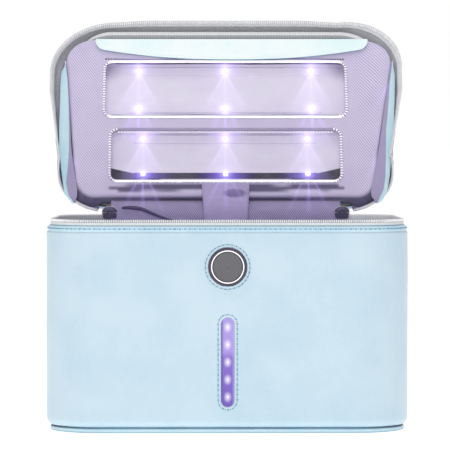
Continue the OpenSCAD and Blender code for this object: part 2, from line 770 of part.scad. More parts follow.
// A side flap is sewn along the panel's edge and leans out over the band
flap_lean = 12;
flap_side_start = -8;
flap_side_l = panel_back_y - panel_back_r - panel_front_y - panel_front_r - flap_side_start + 20;
module side_flap(side) {
    tip_r = flap_side_back / 2;
    color(flap_colour) at_lid() mirror([side < 0 ? 1 : 0, 0, 0])
        translate([panel_front_w - 3.4, panel_front_y + panel_front_r, panel_z - flap_gap - flap_t / 2])
            rotate([0, 0, panel_side_angle]) rotate([0, flap_lean, 0])
                translate([0.8, flap_side_start, -flap_t / 2]) linear_extrude(flap_t)
                    polygon(concat([[0, 0], [flap_side_front - 4, 0], [flap_side_front, 4]],
                                   arc(tip_r, flap_side_l - tip_r, tip_r, 0, 180, 12)));
}
module left_flap() { side_flap(-1); }
module right_flap() { side_flap(1); }

// A slider runs on the body's coil: +X is along the coil, +Y is outward, the origin is the coil's centre
bail_y = 5.7;
bail_z = -1;
bail_r = 0.8;
bail_gap = 0.08;
ear_w = 1.2;
eye_w = 3.4;
module at_slider(side) {
    translate([side * centre_x, body_d / 2 - tape_inset, coil_z]) children();
}
module slider(side) {
    half = coil_r + 0.9;
    low = -tape_h + 0.5;
    high = coil_r + 1.1;
    color(metal_colour) at_slider(side) union() {
        for (s = [-1, 1]) {
            translate([0, s * (half + slider_plate_t / 2), 0]) rotate([90, 0, 0])
                linear_extrude(slider_plate_t, center = true) translate([0, (low + high) / 2])
                    plan(slider_l, high - low, 1.8);
            translate([-slider_l / 2 + 2, s > 0 ? 1.3 : -half - 0.1, low])
                cube([slider_l - 4, half - 1.2, 0.8]);
        }
        translate([-slider_l / 2 + 2, -half - 0.1, coil_r + 0.25]) cube([slider_l - 4, 2 * half + 0.2, 0.85]);
        for (s = [-1, 1])
            translate([s * (eye_w / 2 + 0.3 + ear_w / 2), 0, bail_z]) rotate([90, 0, 90])
                linear_extrude(ear_w, center = true) union() {
                    translate([bail_y, 0]) circle(1.7);
                    translate([half + 0.5, -1.7]) square([bail_y - half - 0.5, 3.4]);
                }
        translate([-eye_w / 2 - 1, bail_y, bail_z]) rotate([0, 90, 0]) cylinder(h = eye_w + 2, r = bail_r);
    }
}
module slider_left() { slider(-1); }
module slider_right() { slider(1); }

module pull(side) {
    eye_r = 1.9;
    color(metal_colour) at_slider(side) translate([0, bail_y, bail_z]) difference() {
        union() {
            rotate([0, 90, 0]) cylinder(h = eye_w, r = eye_r, center = true);
            rotate([90, 0, 0]) linear_extrude(1.2, center = true) union() {
                translate([-eye_w / 2, -7]) square([eye_w, 7]);
                translate([0, -6 - (pull_l - 6) / 2]) plan(pull_w, pull_l - 6, 3);
            }
        }
        rotate([0, 90, 0]) cylinder(h = eye_w + 2, r = bail_r + bail_gap, center = true);
    }
}
module pull_left() { pull(-1); }
module pull_right() { pull(1); }

base_panel();
base_board();
base_welt();
body_shell();
body_board();
body_lining();
floor_lining();
rim_collar();
body_zip_tape();
body_zip_coil();
button_bezel();
button_light_ring();
power_button();
button_spring();
switch_body();
button_nut();
indicator_lens();
indicator_lamps();
indicator_board();
control_board();
control_cover();
power_inlet();
inlet_board();
inlet_cover();
wall_lead();
hinge_strip();
hinge_lining();
lead_sleeve();
lid_cover();
lid_board();
lid_zip_tape();
lid_zip_coil();
panel_backing();
panel_lining();
reflector_upper();
reflector_lower();
lamp_strips_upper();
lamp_strips_lower();
lamps_upper();
lamps_lower();
window_upper();
window_lower();
window_bead_upper();
window_bead_lower();
front_flap();
left_flap();
right_flap();
slider_left();
slider_right();
pull_left();
pull_right();
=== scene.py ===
"""A soft-sided ultraviolet sanitizer box for phones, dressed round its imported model."""

import logging
import math
from contextlib import contextmanager
from dataclasses import dataclass
from enum import Enum
from typing import Any, Callable, Iterator

import bmesh
import bpy
import numpy as np
from mathutils import Matrix, Vector, geometry, noise


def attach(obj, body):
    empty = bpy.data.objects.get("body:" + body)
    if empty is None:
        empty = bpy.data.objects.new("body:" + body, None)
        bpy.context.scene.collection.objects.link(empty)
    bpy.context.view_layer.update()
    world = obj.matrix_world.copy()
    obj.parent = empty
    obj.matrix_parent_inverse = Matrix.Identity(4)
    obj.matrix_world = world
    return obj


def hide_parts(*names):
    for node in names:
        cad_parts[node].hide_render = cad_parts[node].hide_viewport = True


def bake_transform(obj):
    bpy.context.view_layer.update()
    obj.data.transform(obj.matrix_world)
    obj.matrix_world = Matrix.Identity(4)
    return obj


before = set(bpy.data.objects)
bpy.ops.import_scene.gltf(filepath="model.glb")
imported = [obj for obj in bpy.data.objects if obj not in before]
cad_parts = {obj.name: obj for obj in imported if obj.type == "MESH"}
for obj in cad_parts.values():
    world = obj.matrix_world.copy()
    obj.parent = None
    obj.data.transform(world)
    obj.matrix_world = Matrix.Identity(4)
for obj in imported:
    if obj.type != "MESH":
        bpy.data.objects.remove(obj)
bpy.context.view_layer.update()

log = logging.getLogger("sanitizer_box")
Tree, Node = bpy.types.NodeTree, bpy.types.Node
Socket, Object = bpy.types.NodeSocket, bpy.types.Object
MM = 0.001


# Measures of the box, in millimetres

BODY_W, BODY_D, CORNER_R = 330.0, 205.0, 52.0
WALL_TOP, SEAM_Z = 186.2, 5.5
CURL_H, BASE_INSET = 7.0, 4.7
COLLAR_TOP = 189.8
LEATHER_T, WALL_T = 1.4, 6.1
FLOOR_TOP = 8.41
SOFT_SIDE, SOFT_TOP, SOFT_EDGE_R = 2.6, 184.8, 2.2
TAPE_INSET, COIL_Z = 4.2, 194.6
ZIP_GAP = 106.0
HINGE_Y, HINGE_Z, OPEN_ANGLE = 102.5, 205.0, 123.0
LID_TOP, LID_INSET, LID_EDGE_R, BAND_Z = 221.0, 1.5, 4.0, 214.5
LID_COIL_Z, LID_COIL_END_Z = 198.6, 205.5
PANEL_Z = 201.5
PANEL_FRONT_Y, PANEL_BACK_Y = -90.5, 95.5
PANEL_FRONT_W, PANEL_BACK_W = 159.0, 148.0
PANEL_FRONT_R, PANEL_BACK_R = 28.0, 22.0
BEAD_W, WINDOW_R = 3.2, 10.0
BUTTON_Z, BEZEL_R, CAP_R = 152.8, 17.8, 13.62
INDICATOR_Z, INDICATOR_W, INDICATOR_L, INDICATOR_PITCH = 65.6, 12.0, 81.8, 16.0
LAMP_PITCHES = (86.0, 86.0, 81.0, 81.0)
LAMP_ROWS = (-55.8, -11.5, 24.8, 65.5)
FRONT_Y = -BODY_D / 2
INLET_X, INLET_Z = 88.0, 32.5
IMAGE_SIZE, HORIZON_ROW = 450, 121.7
TWILL_ANGLE = 33
# A wave texture has 20 radians for each unit of its scale, so this over a pitch in millimetres is a scale.
RIB_SCALE = 1000 * 2 * math.pi / 20
BUTTON_STITCH_R, BUTTON_STITCH = 20.4, 4.27
WINDOW_STITCH_GAP, WINDOW_STITCH = 2.7, 4.7
FRONT_OUT = [0.0, -1.0, 0.0]
NUT_ROOM_R = 17.0


@dataclass(frozen=True)
class Window:
    """A clear window of the light panel, in the closed lid's plan.

    Attributes:
        y: Middle of the window from front to back.
        width: Outer width of its bead.
        depth: Outer depth of its bead.
    """

    y: float
    width: float
    depth: float


UPPER_WINDOW = Window(-29.3, 244.0, 69.0)
LOWER_WINDOW = Window(48.2, 231.0, 64.0)


# Small helpers


def linear(colour: str) -> tuple[float, float, float, float]:
    """Turns an sRGB hex value to linear light.

    Args:
        colour: A value such as "#CEE4F0".

    Returns:
        Red, green, blue and an alpha of 1.
    """
    parts = [int(colour[i:i + 2], 16) / 255 for i in (1, 3, 5)]
    r, g, b = (c / 12.92 if c <= 0.04045 else ((c + 0.055) / 1.055) ** 2.4 for c in parts)
    return r, g, b, 1.0


def feed(node: Node, values: dict[Any, Any]) -> None:
    """Fills a node's inputs.

    Args:
        node: The node.
        values: What its inputs get, by name or number. A socket is linked, a hex colour is turned to
            linear light, and any other value is set.
    """
    for key, value in values.items():
        if isinstance(value, Socket):
            node.id_data.links.new(value, node.inputs[key])
        elif isinstance(value, str) and value.startswith("#"):
            node.inputs[key].default_value = linear(value)
        else:
            node.inputs[key].default_value = value


def add(tree: Tree, kind: str, values: Any = (), out: int | str | None = 0,
        **properties: Any) -> Any:
    """Adds a node with its settings and links.

    Args:
        tree: The tree that gets the node.
        kind: The node's type. A shader node's goes without "ShaderNode".
        values: What its inputs get, in their order, or by name or number.
        out: The output to return, or None for all of them.
        **properties: Properties of the node itself.

    Returns:
        The socket of that output, or all outputs.
    """
    node = tree.nodes.new(kind if "Node" in kind else f"ShaderNode{kind}")
    for name, value in properties.items():
        setattr(node, name, value)
    feed(node, values if isinstance(values, dict) else dict(enumerate(values)))
    return node.outputs if out is None else node.outputs[out]


def path_lengths(points: np.ndarray) -> np.ndarray:
    """How far along a path each of its points is."""
    return np.concatenate([[0], np.cumsum(np.linalg.norm(np.diff(points, axis=0), axis=1))])


def at_height(points: np.ndarray, z: Any) -> np.ndarray:
    """Points with one more column, such as their height."""
    return np.column_stack([points, np.full(len(points), z)])


def ring_at(ring: np.ndarray, out: Any, z: float) -> np.ndarray:
    """Points of a ring at a distance out from it and a height."""
    return np.column_stack([ring[:, 0] + out * np.cos(ring[:, 2]), ring[:, 1] + out * np.sin(ring[:, 2]),
                            np.full(len(ring), z)])


def linked(name: str, data: bpy.types.ID) -> Object:
    """A new object in the scene, from a mesh, a lamp or a camera."""
    made = bpy.data.objects.new(name, data)
    bpy.context.scene.collection.objects.link(made)
    return made


@contextmanager
def edited(made: Object) -> Iterator[bmesh.types.BMesh]:
    """Opens a piece's mesh for changes, and stores it when they are done."""
    shape = bmesh.new()
    shape.from_mesh(made.data)
    yield shape
    shape.to_mesh(made.data)
    shape.free()


def ease(t: np.ndarray | float) -> np.ndarray:
    """A curve from 0 to 1 that starts and ends level."""
    u = np.clip(t, 0.0, 1.0)
    return u * u * (3 - 2 * u)


def bump_at(d: np.ndarray, centre: float, width: float) -> np.ndarray:
    """A soft hump of height 1 at a distance, used for piping and stitch valleys."""
    return np.exp(-(((d - centre) / width) ** 2))


def ripple(points: np.ndarray, size: float, seed: float) -> np.ndarray:
    """Smooth noise from -1 to 1 at points.

    Args:
        points: Places in millimetres, as rows of x, y, z.
        size: Width of the waves in millimetres.
        seed: Moves the pattern, so that two cloths differ.

    Returns:
        One value for each point.
    """
    shift = Vector((seed * 7.31, seed * 3.17, seed * 5.03))
    return np.array([noise.noise(Vector(p) / size + shift) for p in points.reshape(-1, 3)]).reshape(
        points.shape[:-1])


def opened(points: np.ndarray) -> np.ndarray:
    """Turns points of the closed lid to where the lid rests open."""
    a = math.radians(-OPEN_ANGLE)
    moved = points.astype(float).copy()
    y, z = points[..., 1] - HINGE_Y, points[..., 2] - HINGE_Z
    moved[..., 1] = HINGE_Y + y * math.cos(a) - z * math.sin(a)
    moved[..., 2] = HINGE_Z + y * math.sin(a) + z * math.cos(a)
    return moved


def arc(cx: float, cy: float, r: float, start: float, end: float, steps: int) -> list[tuple[float, float]]:
    """Points on an arc, with its angles in degrees."""
    turns = [math.radians(start + (end - start) * i / steps) for i in range(steps + 1)]
    return [(cx + r * math.cos(t), cy + r * math.sin(t)) for t in turns]


def rounded(width: float, depth: float, r: float, step: float = 3.0,
            middle: tuple[float, float] = (0.0, 0.0)) -> np.ndarray:
    """Points round a rounded rectangle, against the clock.

    Args:
        width: Size along X.
        depth: Size along Y.
        r: Corner radius.
        step: Largest distance between points.
        middle: Centre of the rectangle.

    Returns:
        Rows of x, y and the outward angle in radians.
    """
    rows: list[tuple[float, float, float]] = []
    cx, cy = width / 2 - r, depth / 2 - r
    turns = max(3, math.ceil(r * math.pi / 2 / step))
    corners = [(cx, cy, 0.0), (-cx, cy, 90.0), (-cx, -cy, 180.0), (cx, -cy, 270.0)]
    for i, (x, y, a) in enumerate(corners):
        for k in range(turns + 1):
            t = math.radians(a + 90 * k / turns)
            rows.append((x + r * math.cos(t), y + r * math.sin(t), t))
        nx, ny, _ = corners[(i + 1) % 4]
        t = math.radians(a + 90)
        x0, y0 = x + r * math.cos(t), y + r * math.sin(t)
        x1, y1 = nx + r * math.cos(t), ny + r * math.sin(t)
        run = math.ceil(math.hypot(x1 - x0, y1 - y0) / step)
        rows += [(x0 + (x1 - x0) * k / run, y0 + (y1 - y0) * k / run, t) for k in range(1, run)]
    found = np.array(rows)
    found[:, 0] += middle[0]
    found[:, 1] += middle[1]
    return found


def inside(points: np.ndarray, ring: np.ndarray) -> np.ndarray:
    """Whether each point lies in a closed outline."""
    x, y = points[:, 0][:, None], points[:, 1][:, None]
    x0, y0 = ring[:, 0][None], ring[:, 1][None]
    x1, y1 = np.roll(x0, -1, 1), np.roll(y0, -1, 1)
    with np.errstate(divide="ignore", invalid="ignore"):
        crosses = ((y0 > y) != (y1 > y)) & (x < (x1 - x0) * (y - y0) / (y1 - y0) + x0)
    return crosses.sum(1) % 2 == 1


def distance(points: np.ndarray, ring: np.ndarray) -> np.ndarray:
    """Distance from each point to a closed outline."""
    a, b = ring[:, :2], np.roll(ring[:, :2], -1, 0)
    d = b - a
    t = np.clip(((points[:, None, :2] - a) * d).sum(2) / np.maximum((d * d).sum(1), 1e-9), 0, 1)
    return np.sqrt((((a + t[..., None] * d) - points[:, None, :2]) ** 2).sum(2)).min(1)


def piece(name: str, points: np.ndarray, faces: list[tuple[int, ...]], finish: "Finish",
          uv: np.ndarray | None = None) -> Object:
    """Makes a smooth mesh object with its place in its mesh.

    Args:
        name: The piece's name.
        points: Places in millimetres.
        faces: Corners of each face.
        finish: What it is made of.
        uv: One pair for each point, in metres along the cloth.

    Returns:
        The new object.
    """
    mesh = bpy.data.meshes.new(name)
    mesh.from_pydata((points.reshape(-1, 3) * MM).tolist(), [], faces)
    mesh.shade_smooth()
    mesh.materials.append(finish.material())
    if uv is not None:
        layer = mesh.uv_layers.new(name="cloth")
        corner = np.zeros(len(mesh.loops), np.int32)
        mesh.loops.foreach_get("vertex_index", corner)
        layer.data.foreach_set("uv", uv.reshape(-1, 2)[corner].ravel().astype(np.float32))
    made = linked(name, mesh)
    return made


def loft(name: str, rows: np.ndarray, finish: "Finish", ring: bool = False, shell: bool = False,
         uv: np.ndarray | None = None) -> Object:
    """Joins rows of points to a surface.

    Args:
        name: The piece's name.
        rows: Points as stations by points across, in millimetres.
        finish: What it is made of.
        ring: Whether the last station joins the first.
        shell: Whether each station is a closed section, so that the piece is a closed solid.
        uv: One pair for each point, in metres along the cloth.

    Returns:
        The new object.
    """
    n, m = rows.shape[:2]
    faces: list[tuple[int, ...]] = []
    for i in range(n if ring else n - 1):
        j = (i + 1) % n
        for k in range(m if shell else m - 1):
            q = (k + 1) % m
            faces.append((i * m + k, j * m + k, j * m + q, i * m + q))
    if shell and not ring:
        faces.append(tuple(range(m)))
        faces.append(tuple((n - 1) * m + k for k in range(m - 1, -1, -1)))
    return piece(name, rows, faces, finish, uv)


def faced(made: Object, finish: "Finish", chosen: Callable[[bpy.types.MeshPolygon], bool],
          ) -> Object:
    """Gives the faces that a test picks another finish.

    Args:
        made: The piece.
        finish: The other finish.
        chosen: The test, which sees each face.

    Returns:
        The same piece.
    """
    made.data.materials.append(finish.material())
    number = len(made.data.materials) - 1
    for face in made.data.polygons:
        if chosen(face):
            face.material_index = number
    return made


def marked(made: Object, name: str, values: np.ndarray) -> Object:
    """Stores one value for each point of a mesh, for its material."""
    made.data.attributes.new(name, "FLOAT", "POINT").data.foreach_set("value", values.astype(np.float32))
    return made


def outward(made: Object) -> Object:
    """Merges doubles and turns the faces of a closed piece outwards."""
    with edited(made) as shape:
        bmesh.ops.remove_doubles(shape, verts=shape.verts, dist=1e-6)
        bmesh.ops.recalc_face_normals(shape, faces=shape.faces)
    return made


def solid(made: Object, thickness: float, offset: float = -1.0) -> Object:
    """Gives a sheet its thickness in millimetres."""
    wall = made.modifiers.new("thickness", "SOLIDIFY")
    wall.thickness = thickness * MM
    wall.offset = offset
    wall.use_even_offset = False
    return made


def applied(made: Object) -> Object:
    """Turns a piece's modifiers into plain mesh."""
    graph = bpy.context.evaluated_depsgraph_get()
    mesh = bpy.data.meshes.new_from_object(made.evaluated_get(graph), depsgraph=graph)
    made.modifiers.clear()
    made.data = mesh
    return made


# Finishes


class Finish:
    """A real material, made once and shared by the pieces that have it."""

    name: str

    def material(self) -> bpy.types.Material:
        """The Blender material of this finish."""
        found = bpy.data.materials.get(self.name)
        if found:
            return found
        made = bpy.data.materials.new(self.name)
        made.use_nodes = True
        tree = made.node_tree
        self.paint(tree, tree.nodes["Principled BSDF"])
        return made

    def paint(self, tree: Tree, shader: Node) -> None:
        """Sets the shader and its patterns."""
        raise NotImplementedError


@dataclass(frozen=True)
class CoatedLeather(Finish):
    """Polyurethane-coated leather, embossed with a fine grain and softly glossy.

    Attributes:
        colour: Colour of the skin.
        shade: Colour in the low parts of the grain and in slow patches.
        grain: Width of a grain cell in millimetres.
        roughness: Roughness of the coating.
        pucker: Pitch of the puckers along the wall's top seam in millimetres, or 0 for none.
    """

    name: str
    colour: str
    shade: str
    grain: float = 1.1
    roughness: float = 0.42
    pucker: float = 0.0

    def puckers(self, tree: Tree, height: Socket) -> Socket:
        """Adds the puckers that the stitches draw into the leather just below the wall's top seam."""
        axes = add(tree, "SeparateXYZ", [add(tree, "UVMap", uv_map="cloth")], None)
        wave = add(tree, "Math", [axes[0], 2000 * math.pi / self.pucker], operation="MULTIPLY")
        fold = add(tree, "Math", [wave], operation="COSINE")
        near = add(tree, "MapRange", [axes[1], (WALL_TOP - 3.6) * MM, (WALL_TOP - 1.2) * MM],
                   interpolation_type="SMOOTHSTEP")
        deep = add(tree, "Math", [fold, near, 0.0], operation="MULTIPLY_ADD")
        return add(tree, "Math", [deep, 1.6, height], operation="MULTIPLY_ADD")

    def paint(self, tree: Tree, shader: Node) -> None:
        """Slow patches of colour over a fine cell grain."""
        place = add(tree, "TexCoord", out="Object")
        cells = add(tree, "TexVoronoi", {"Scale": 1000 / self.grain, "Randomness": 1.0, "Vector": place},
                    "Distance", feature="SMOOTH_F1")
        patches = add(tree, "TexNoise", {"Scale": 1000 / 45, "Detail": 3.0, "Vector": place}, "Fac")
        fine = add(tree, "TexNoise", {"Scale": 1000 / 2.4, "Detail": 4.0, "Vector": place}, "Fac")
        both = add(tree, "Math", [fine, 0.35, patches], operation="MULTIPLY_ADD")
        spread = add(tree, "MapRange", [both, 0.55, 0.85])
        face = add(tree, "Mix", {0: spread, 6: self.colour, 7: self.shade}, 2, data_type="RGBA")
        feed(shader, {"Base Color": face})
        height = add(tree, "Math", [fine, 0.5, cells], operation="MULTIPLY_ADD")
        if self.pucker:
            height = self.puckers(tree, height)
        bump = add(tree, "Bump", {"Strength": 0.16, "Distance": 0.0002, "Height": height})
        feed(shader, {"Normal": bump, "Roughness": self.roughness, "Coat Weight": 0.12,
                      "Coat Roughness": 0.3, "Sheen Weight": 0.08})


@dataclass(frozen=True)
class UnderShadedLeather(CoatedLeather):
    """The base's coated leather, with painted shade along its fold where it turns under to the table."""

    def paint(self, tree: Tree, shader: Node) -> None:
        """The leather, with painted shade in its lowest 1.6 mm."""
        super().paint(tree, shader)
        axes = add(tree, "SeparateXYZ", [add(tree, "TexCoord", out="Object")], 2)
        # Painted shade: darker towards the table.
        low = add(tree, "MapRange", [axes, 0.8 * MM, 2.2 * MM, 1.0, 0.0])
        skin = shader.inputs["Base Color"].links[0].from_socket
        mix = add(tree, "Mix", {0: low, 6: skin, 7: "#93B6C5"}, 2, data_type="RGBA")
        feed(shader, {"Base Color": mix})


def lid_plan() -> Tree:
    """The shared node group that gives a place in the closed lid's plan, in millimetres."""
    found = bpy.data.node_groups.get("lid_plan")
    if found:
        return found
    tree = bpy.data.node_groups.new("lid_plan", "ShaderNodeTree")
    tree.interface.new_socket(name="Plan", in_out="OUTPUT", socket_type="NodeSocketVector")
    turn = Matrix.Rotation(math.radians(OPEN_ANGLE), 3, "X")
    pin = Vector((0.0, HINGE_Y, HINGE_Z))
    place = add(tree, "TexCoord", out="Object")
    plan = add(tree, "Mapping",
               {"Location": pin - turn @ pin, "Scale": (1000, 1000, 1000),
                "Rotation": (math.radians(OPEN_ANGLE), 0, 0), "Vector": place})
    add(tree, "NodeGroupOutput", [plan], None)
    return tree


@dataclass(frozen=True)
class LampGlow:
    """Light that the lid's twelve lamps throw on what lies round them.

    Attributes:
        core: Radius of the white core of a lamp in millimetres.
        halo: Radius of the halo round it.
        near: Radius within which dark pieces look violet.
        reach: Length of its rays.
        apart: Angle from one ray to the next in degrees.
    """

    core: float = 1.6
    halo: float = 5.6
    near: float = 17.0
    reach: float = 62.0
    apart: float = 25.0

    def group(self) -> Tree:
        """The shared node group with one output for each share of the light."""
        found = bpy.data.node_groups.get("lamp_glow")
        if found:
            return found
        tree = bpy.data.node_groups.new("lamp_glow", "ShaderNodeTree")
        axes = add(tree, "SeparateXYZ", [add(tree, "Group", node_tree=lid_plan())], None)
        sums: dict[str, Socket] = {}
        for row, pitch in zip(LAMP_ROWS, LAMP_PITCHES):
            across = add(tree, "Math", [axes[0], -pitch / 2, pitch / 2], operation="WRAP")
            along = add(tree, "Math", [axes[1], row], operation="SUBTRACT")
            away = add(tree, "CombineXYZ", [across, along])
            gap = add(tree, "VectorMath", [away], "Value", operation="LENGTH")
            radii = (("Core", self.core), ("Halo", self.halo), ("Near", self.near))
            shares = {name: self.hump(tree, gap, radius) for name, radius in radii}
            angle = add(tree, "Math", [across, along], operation="ARCTAN2")
            open_by = add(tree, "Math", [angle], operation="ABSOLUTE")
            cone = add(tree, "MapRange", [open_by, 0.34, 0.62, 1.0, 0.0], interpolation_type="SMOOTHSTEP")
            fade = add(tree, "MapRange", [gap, 2.0, self.reach, 1.0, 0.0],
                       interpolation_type="SMOOTHSTEP")
            lit = add(tree, "Math", [cone, fade], operation="MULTIPLY")
            wave = add(tree, "Math", [angle, 360 / self.apart], operation="MULTIPLY")
            comb = add(tree, "Math", [wave], operation="COSINE")
            level = add(tree, "MapRange", [comb, 0.35, 1.0, 0.0, 1.0], interpolation_type="SMOOTHSTEP")
            ray = add(tree, "Math", [level, lit], operation="MULTIPLY")
            shares |= {"Cone": lit, "Rays": ray}
            for name, share in shares.items():
                if name in sums:
                    sums[name] = add(tree, "Math", [sums[name], share])
                else:
                    sums[name] = share
        for name in sums:
            tree.interface.new_socket(name=name, in_out="OUTPUT", socket_type="NodeSocketFloat")
        add(tree, "NodeGroupOutput", sums, None)
        return tree

    @staticmethod
    def hump(tree: Tree, gap: Socket, radius: float) -> Socket:
        """A share of light that falls off round a lamp like a bell."""
        near = add(tree, "Math", [gap, 1 / radius], operation="MULTIPLY")
        square = add(tree, "Math", [near, 2.0], operation="POWER")
        minus = add(tree, "Math", [square, -1.0], operation="MULTIPLY")
        return add(tree, "Math", [minus], operation="EXPONENT")


def lamp_light(tree: Tree, **amounts: float) -> Socket:
    """Adds shares of the lamps' light.

    Args:
        tree: The material's tree.
        **amounts: How much of Core, Halo, Near, Cone and Rays.

    Returns:
        The strength of the light.
    """
    glow = add(tree, "Group", out=None, node_tree=LampGlow().group())
    total: Any = 0.0
    for name, amount in amounts.items():
        total = add(tree, "Math", [glow[name], amount, total], operation="MULTIPLY_ADD")
    return total


@dataclass(frozen=True)
class WovenTwill(Finish):
    """Polyester twill, woven with a diagonal rib and dull in the hollows between ribs.

    Attributes:
        colour: Colour on the ribs.
        shade: Colour between the ribs.
        fold: Painted shade colour deep in its folds, where the piece has the value "fold".
        pitch: Distance between ribs in millimetres. The real rib is about 1, drawn as coarse as it shows.
        lit: How strongly the lid's lamps light it.
    """

    name: str
    colour: str
    shade: str
    fold: str = "#574F74"
    pitch: float = 2.1
    lit: float = 0.0

    def paint(self, tree: Tree, shader: Node) -> None:
        """Diagonal ribs crossed by fine threads, from the cloth's own UV map, with painted shade in its folds
        and the lamps' light painted in where it is lit.
        """
        cloth = add(tree, "UVMap", uv_map="cloth")
        turned = add(tree, "Mapping", {"Rotation": (0, 0, math.radians(TWILL_ANGLE)), "Vector": cloth})
        rib = add(tree, "TexWave",
                  {"Scale": RIB_SCALE / self.pitch, "Distortion": 0.35, "Detail": 1.0, "Detail Scale": 0.4,
                   "Vector": turned}, "Fac")
        thread = add(tree, "TexWave", {"Scale": RIB_SCALE / 0.9, "Distortion": 0.2, "Vector": turned},
                     "Fac", bands_direction="Y")
        worn = add(tree, "TexNoise", {"Scale": 1000 / 30, "Detail": 3.0, "Vector": cloth}, "Fac")
        height = add(tree, "Math", [thread, 0.3, rib], operation="MULTIPLY_ADD")
        patchy = add(tree, "Math", [worn, 0.45, height], operation="MULTIPLY_ADD")
        level = add(tree, "MapRange", [patchy, 0.15, 1.35])
        flat = add(tree, "Mix", {0: level, 6: self.shade, 7: self.colour}, 2, data_type="RGBA")
        # Painted shade: the "fold" value darkens the twill towards the fold colour in creases and hollows.
        deep = add(tree, "Attribute", out="Fac", attribute_name="fold")
        face = add(tree, "Mix", {0: deep, 6: flat, 7: self.fold}, 2, data_type="RGBA")
        feed(shader, {"Base Color": face})
        bump = add(tree, "Bump", {"Strength": 0.35, "Distance": 0.0003, "Height": height})
        feed(shader, {"Normal": bump, "Roughness": 0.8, "Sheen Weight": 0.25})
        if self.lit:
            feed(shader, {"Emission Color": "#BFA6FF"})
            light = lamp_light(tree, Halo=self.lit * 0.5, Cone=self.lit * 0.12, Rays=self.lit * 0.3)
            feed(shader, {"Emission Strength": light})


@dataclass(frozen=True)
class WovenTape(Finish):
    """Zip tape of woven polyester, with fine ribs across it and a matt face.

    Attributes:
        colour: Colour on the ribs.
        shade: Colour between the ribs.
    """

    name: str
    colour: str
    shade: str

    def paint(self, tree: Tree, shader: Node) -> None:
        """Ribs 1.6 mm apart across the tape, from its own UV map, with slight soiling."""
        cloth = add(tree, "UVMap", uv_map="cloth")
        rib = add(tree, "TexWave", {"Scale": RIB_SCALE / 1.6, "Distortion": 0.3, "Vector": cloth}, "Fac")
        worn = add(tree, "TexNoise", {"Scale": 1000 / 9, "Detail": 4.0, "Vector": cloth}, "Fac")
        both = add(tree, "Math", [worn, 0.6, rib], operation="MULTIPLY_ADD")
        level = add(tree, "MapRange", [both, 0.1, 1.4])
        face = add(tree, "Mix", {0: level, 6: self.shade, 7: self.colour}, 2, data_type="RGBA")
        feed(shader, {"Base Color": face})
        bump = add(tree, "Bump", {"Strength": 0.4, "Distance": 0.0003, "Height": both})
        feed(shader, {"Normal": bump, "Roughness": 0.85, "Sheen Weight": 0.2})


@dataclass(frozen=True)
class BandCloth(Finish):
    """The zip band's cloth: woven tape, grey of its own, with the light and shade of its folds painted as
    stripes from its coil to its root.
    """

    name: str = "polyester_zip_band"

    def stripes(self, tree: Tree, across: Socket, stops: list[tuple[float, str]]) -> Socket:
        """Colours by the share of the way from coil to root, with its folds' painted shade and light."""
        run = add(tree, "ValToRGB", [across])
        ramp = run.node.color_ramp
        ramp.elements[0].position, ramp.elements[0].color = stops[0][0], linear(stops[0][1])
        ramp.elements[1].position, ramp.elements[1].color = stops[-1][0], linear(stops[-1][1])
        for place, colour in stops[1:-1]:
            ramp.elements.new(place).color = linear(colour)
        return run

    def paint(self, tree: Tree, shader: Node) -> None:
        """Painted stripes of fold shade and light for the front, the sides and the back corners, under a fine
        weave.
        """
        across = add(tree, "Attribute", out="Fac", attribute_name="across")
        side = add(tree, "Attribute", out="Fac", attribute_name="side")
        corner = add(tree, "Attribute", out="Fac", attribute_name="corner")
        front = self.stripes(tree, across, [(0.0, "#B6B8BB"), (0.3, "#C4C6C9"), (0.34, "#BFC1C4"),
                                            (0.7, "#BBBDC0"), (1.0, "#B2B4B7")])
        along = self.stripes(tree, across, [(0.0, "#CFD1D2"), (0.22, "#C4C7C8"), (0.27, "#9C98A4"),
                                            (0.33, "#C9CCCC"), (0.52, "#C2C5C5"), (0.58, "#B0B0B4"),
                                            (0.64, "#D0D2D3"), (1.0, "#CDCDD1")])
        back = self.stripes(tree, across, [(0.0, "#CFC7E6"), (0.4, "#BDB4D6"), (0.46, "#A29AC0"),
                                           (1.0, "#9D95BA")])
        first = add(tree, "Mix", {0: side, 6: front, 7: along}, 2, data_type="RGBA")
        second = add(tree, "Mix", {0: corner, 6: first, 7: back}, 2, data_type="RGBA")
        cloth = add(tree, "UVMap", uv_map="cloth")
        weave = add(tree, "TexNoise", {"Scale": 1000 / 2.2, "Detail": 3.0, "Vector": cloth}, "Fac")
        dirt = add(tree, "MapRange", [weave, 0.4, 0.75, 0.0, 0.35])
        face = add(tree, "Mix", {0: dirt, 6: second, 7: "#84838C"}, 2, data_type="RGBA")
        feed(shader, {"Base Color": face})
        bump = add(tree, "Bump", {"Strength": 0.4, "Distance": 0.0003, "Height": weave})
        feed(shader, {"Normal": bump, "Roughness": 0.85})


class Mould(Enum):
    """How a moulded plastic's surface was made."""

    POLISHED = 0.14
    SATIN = 0.34
    SPARK_ERODED = 0.55


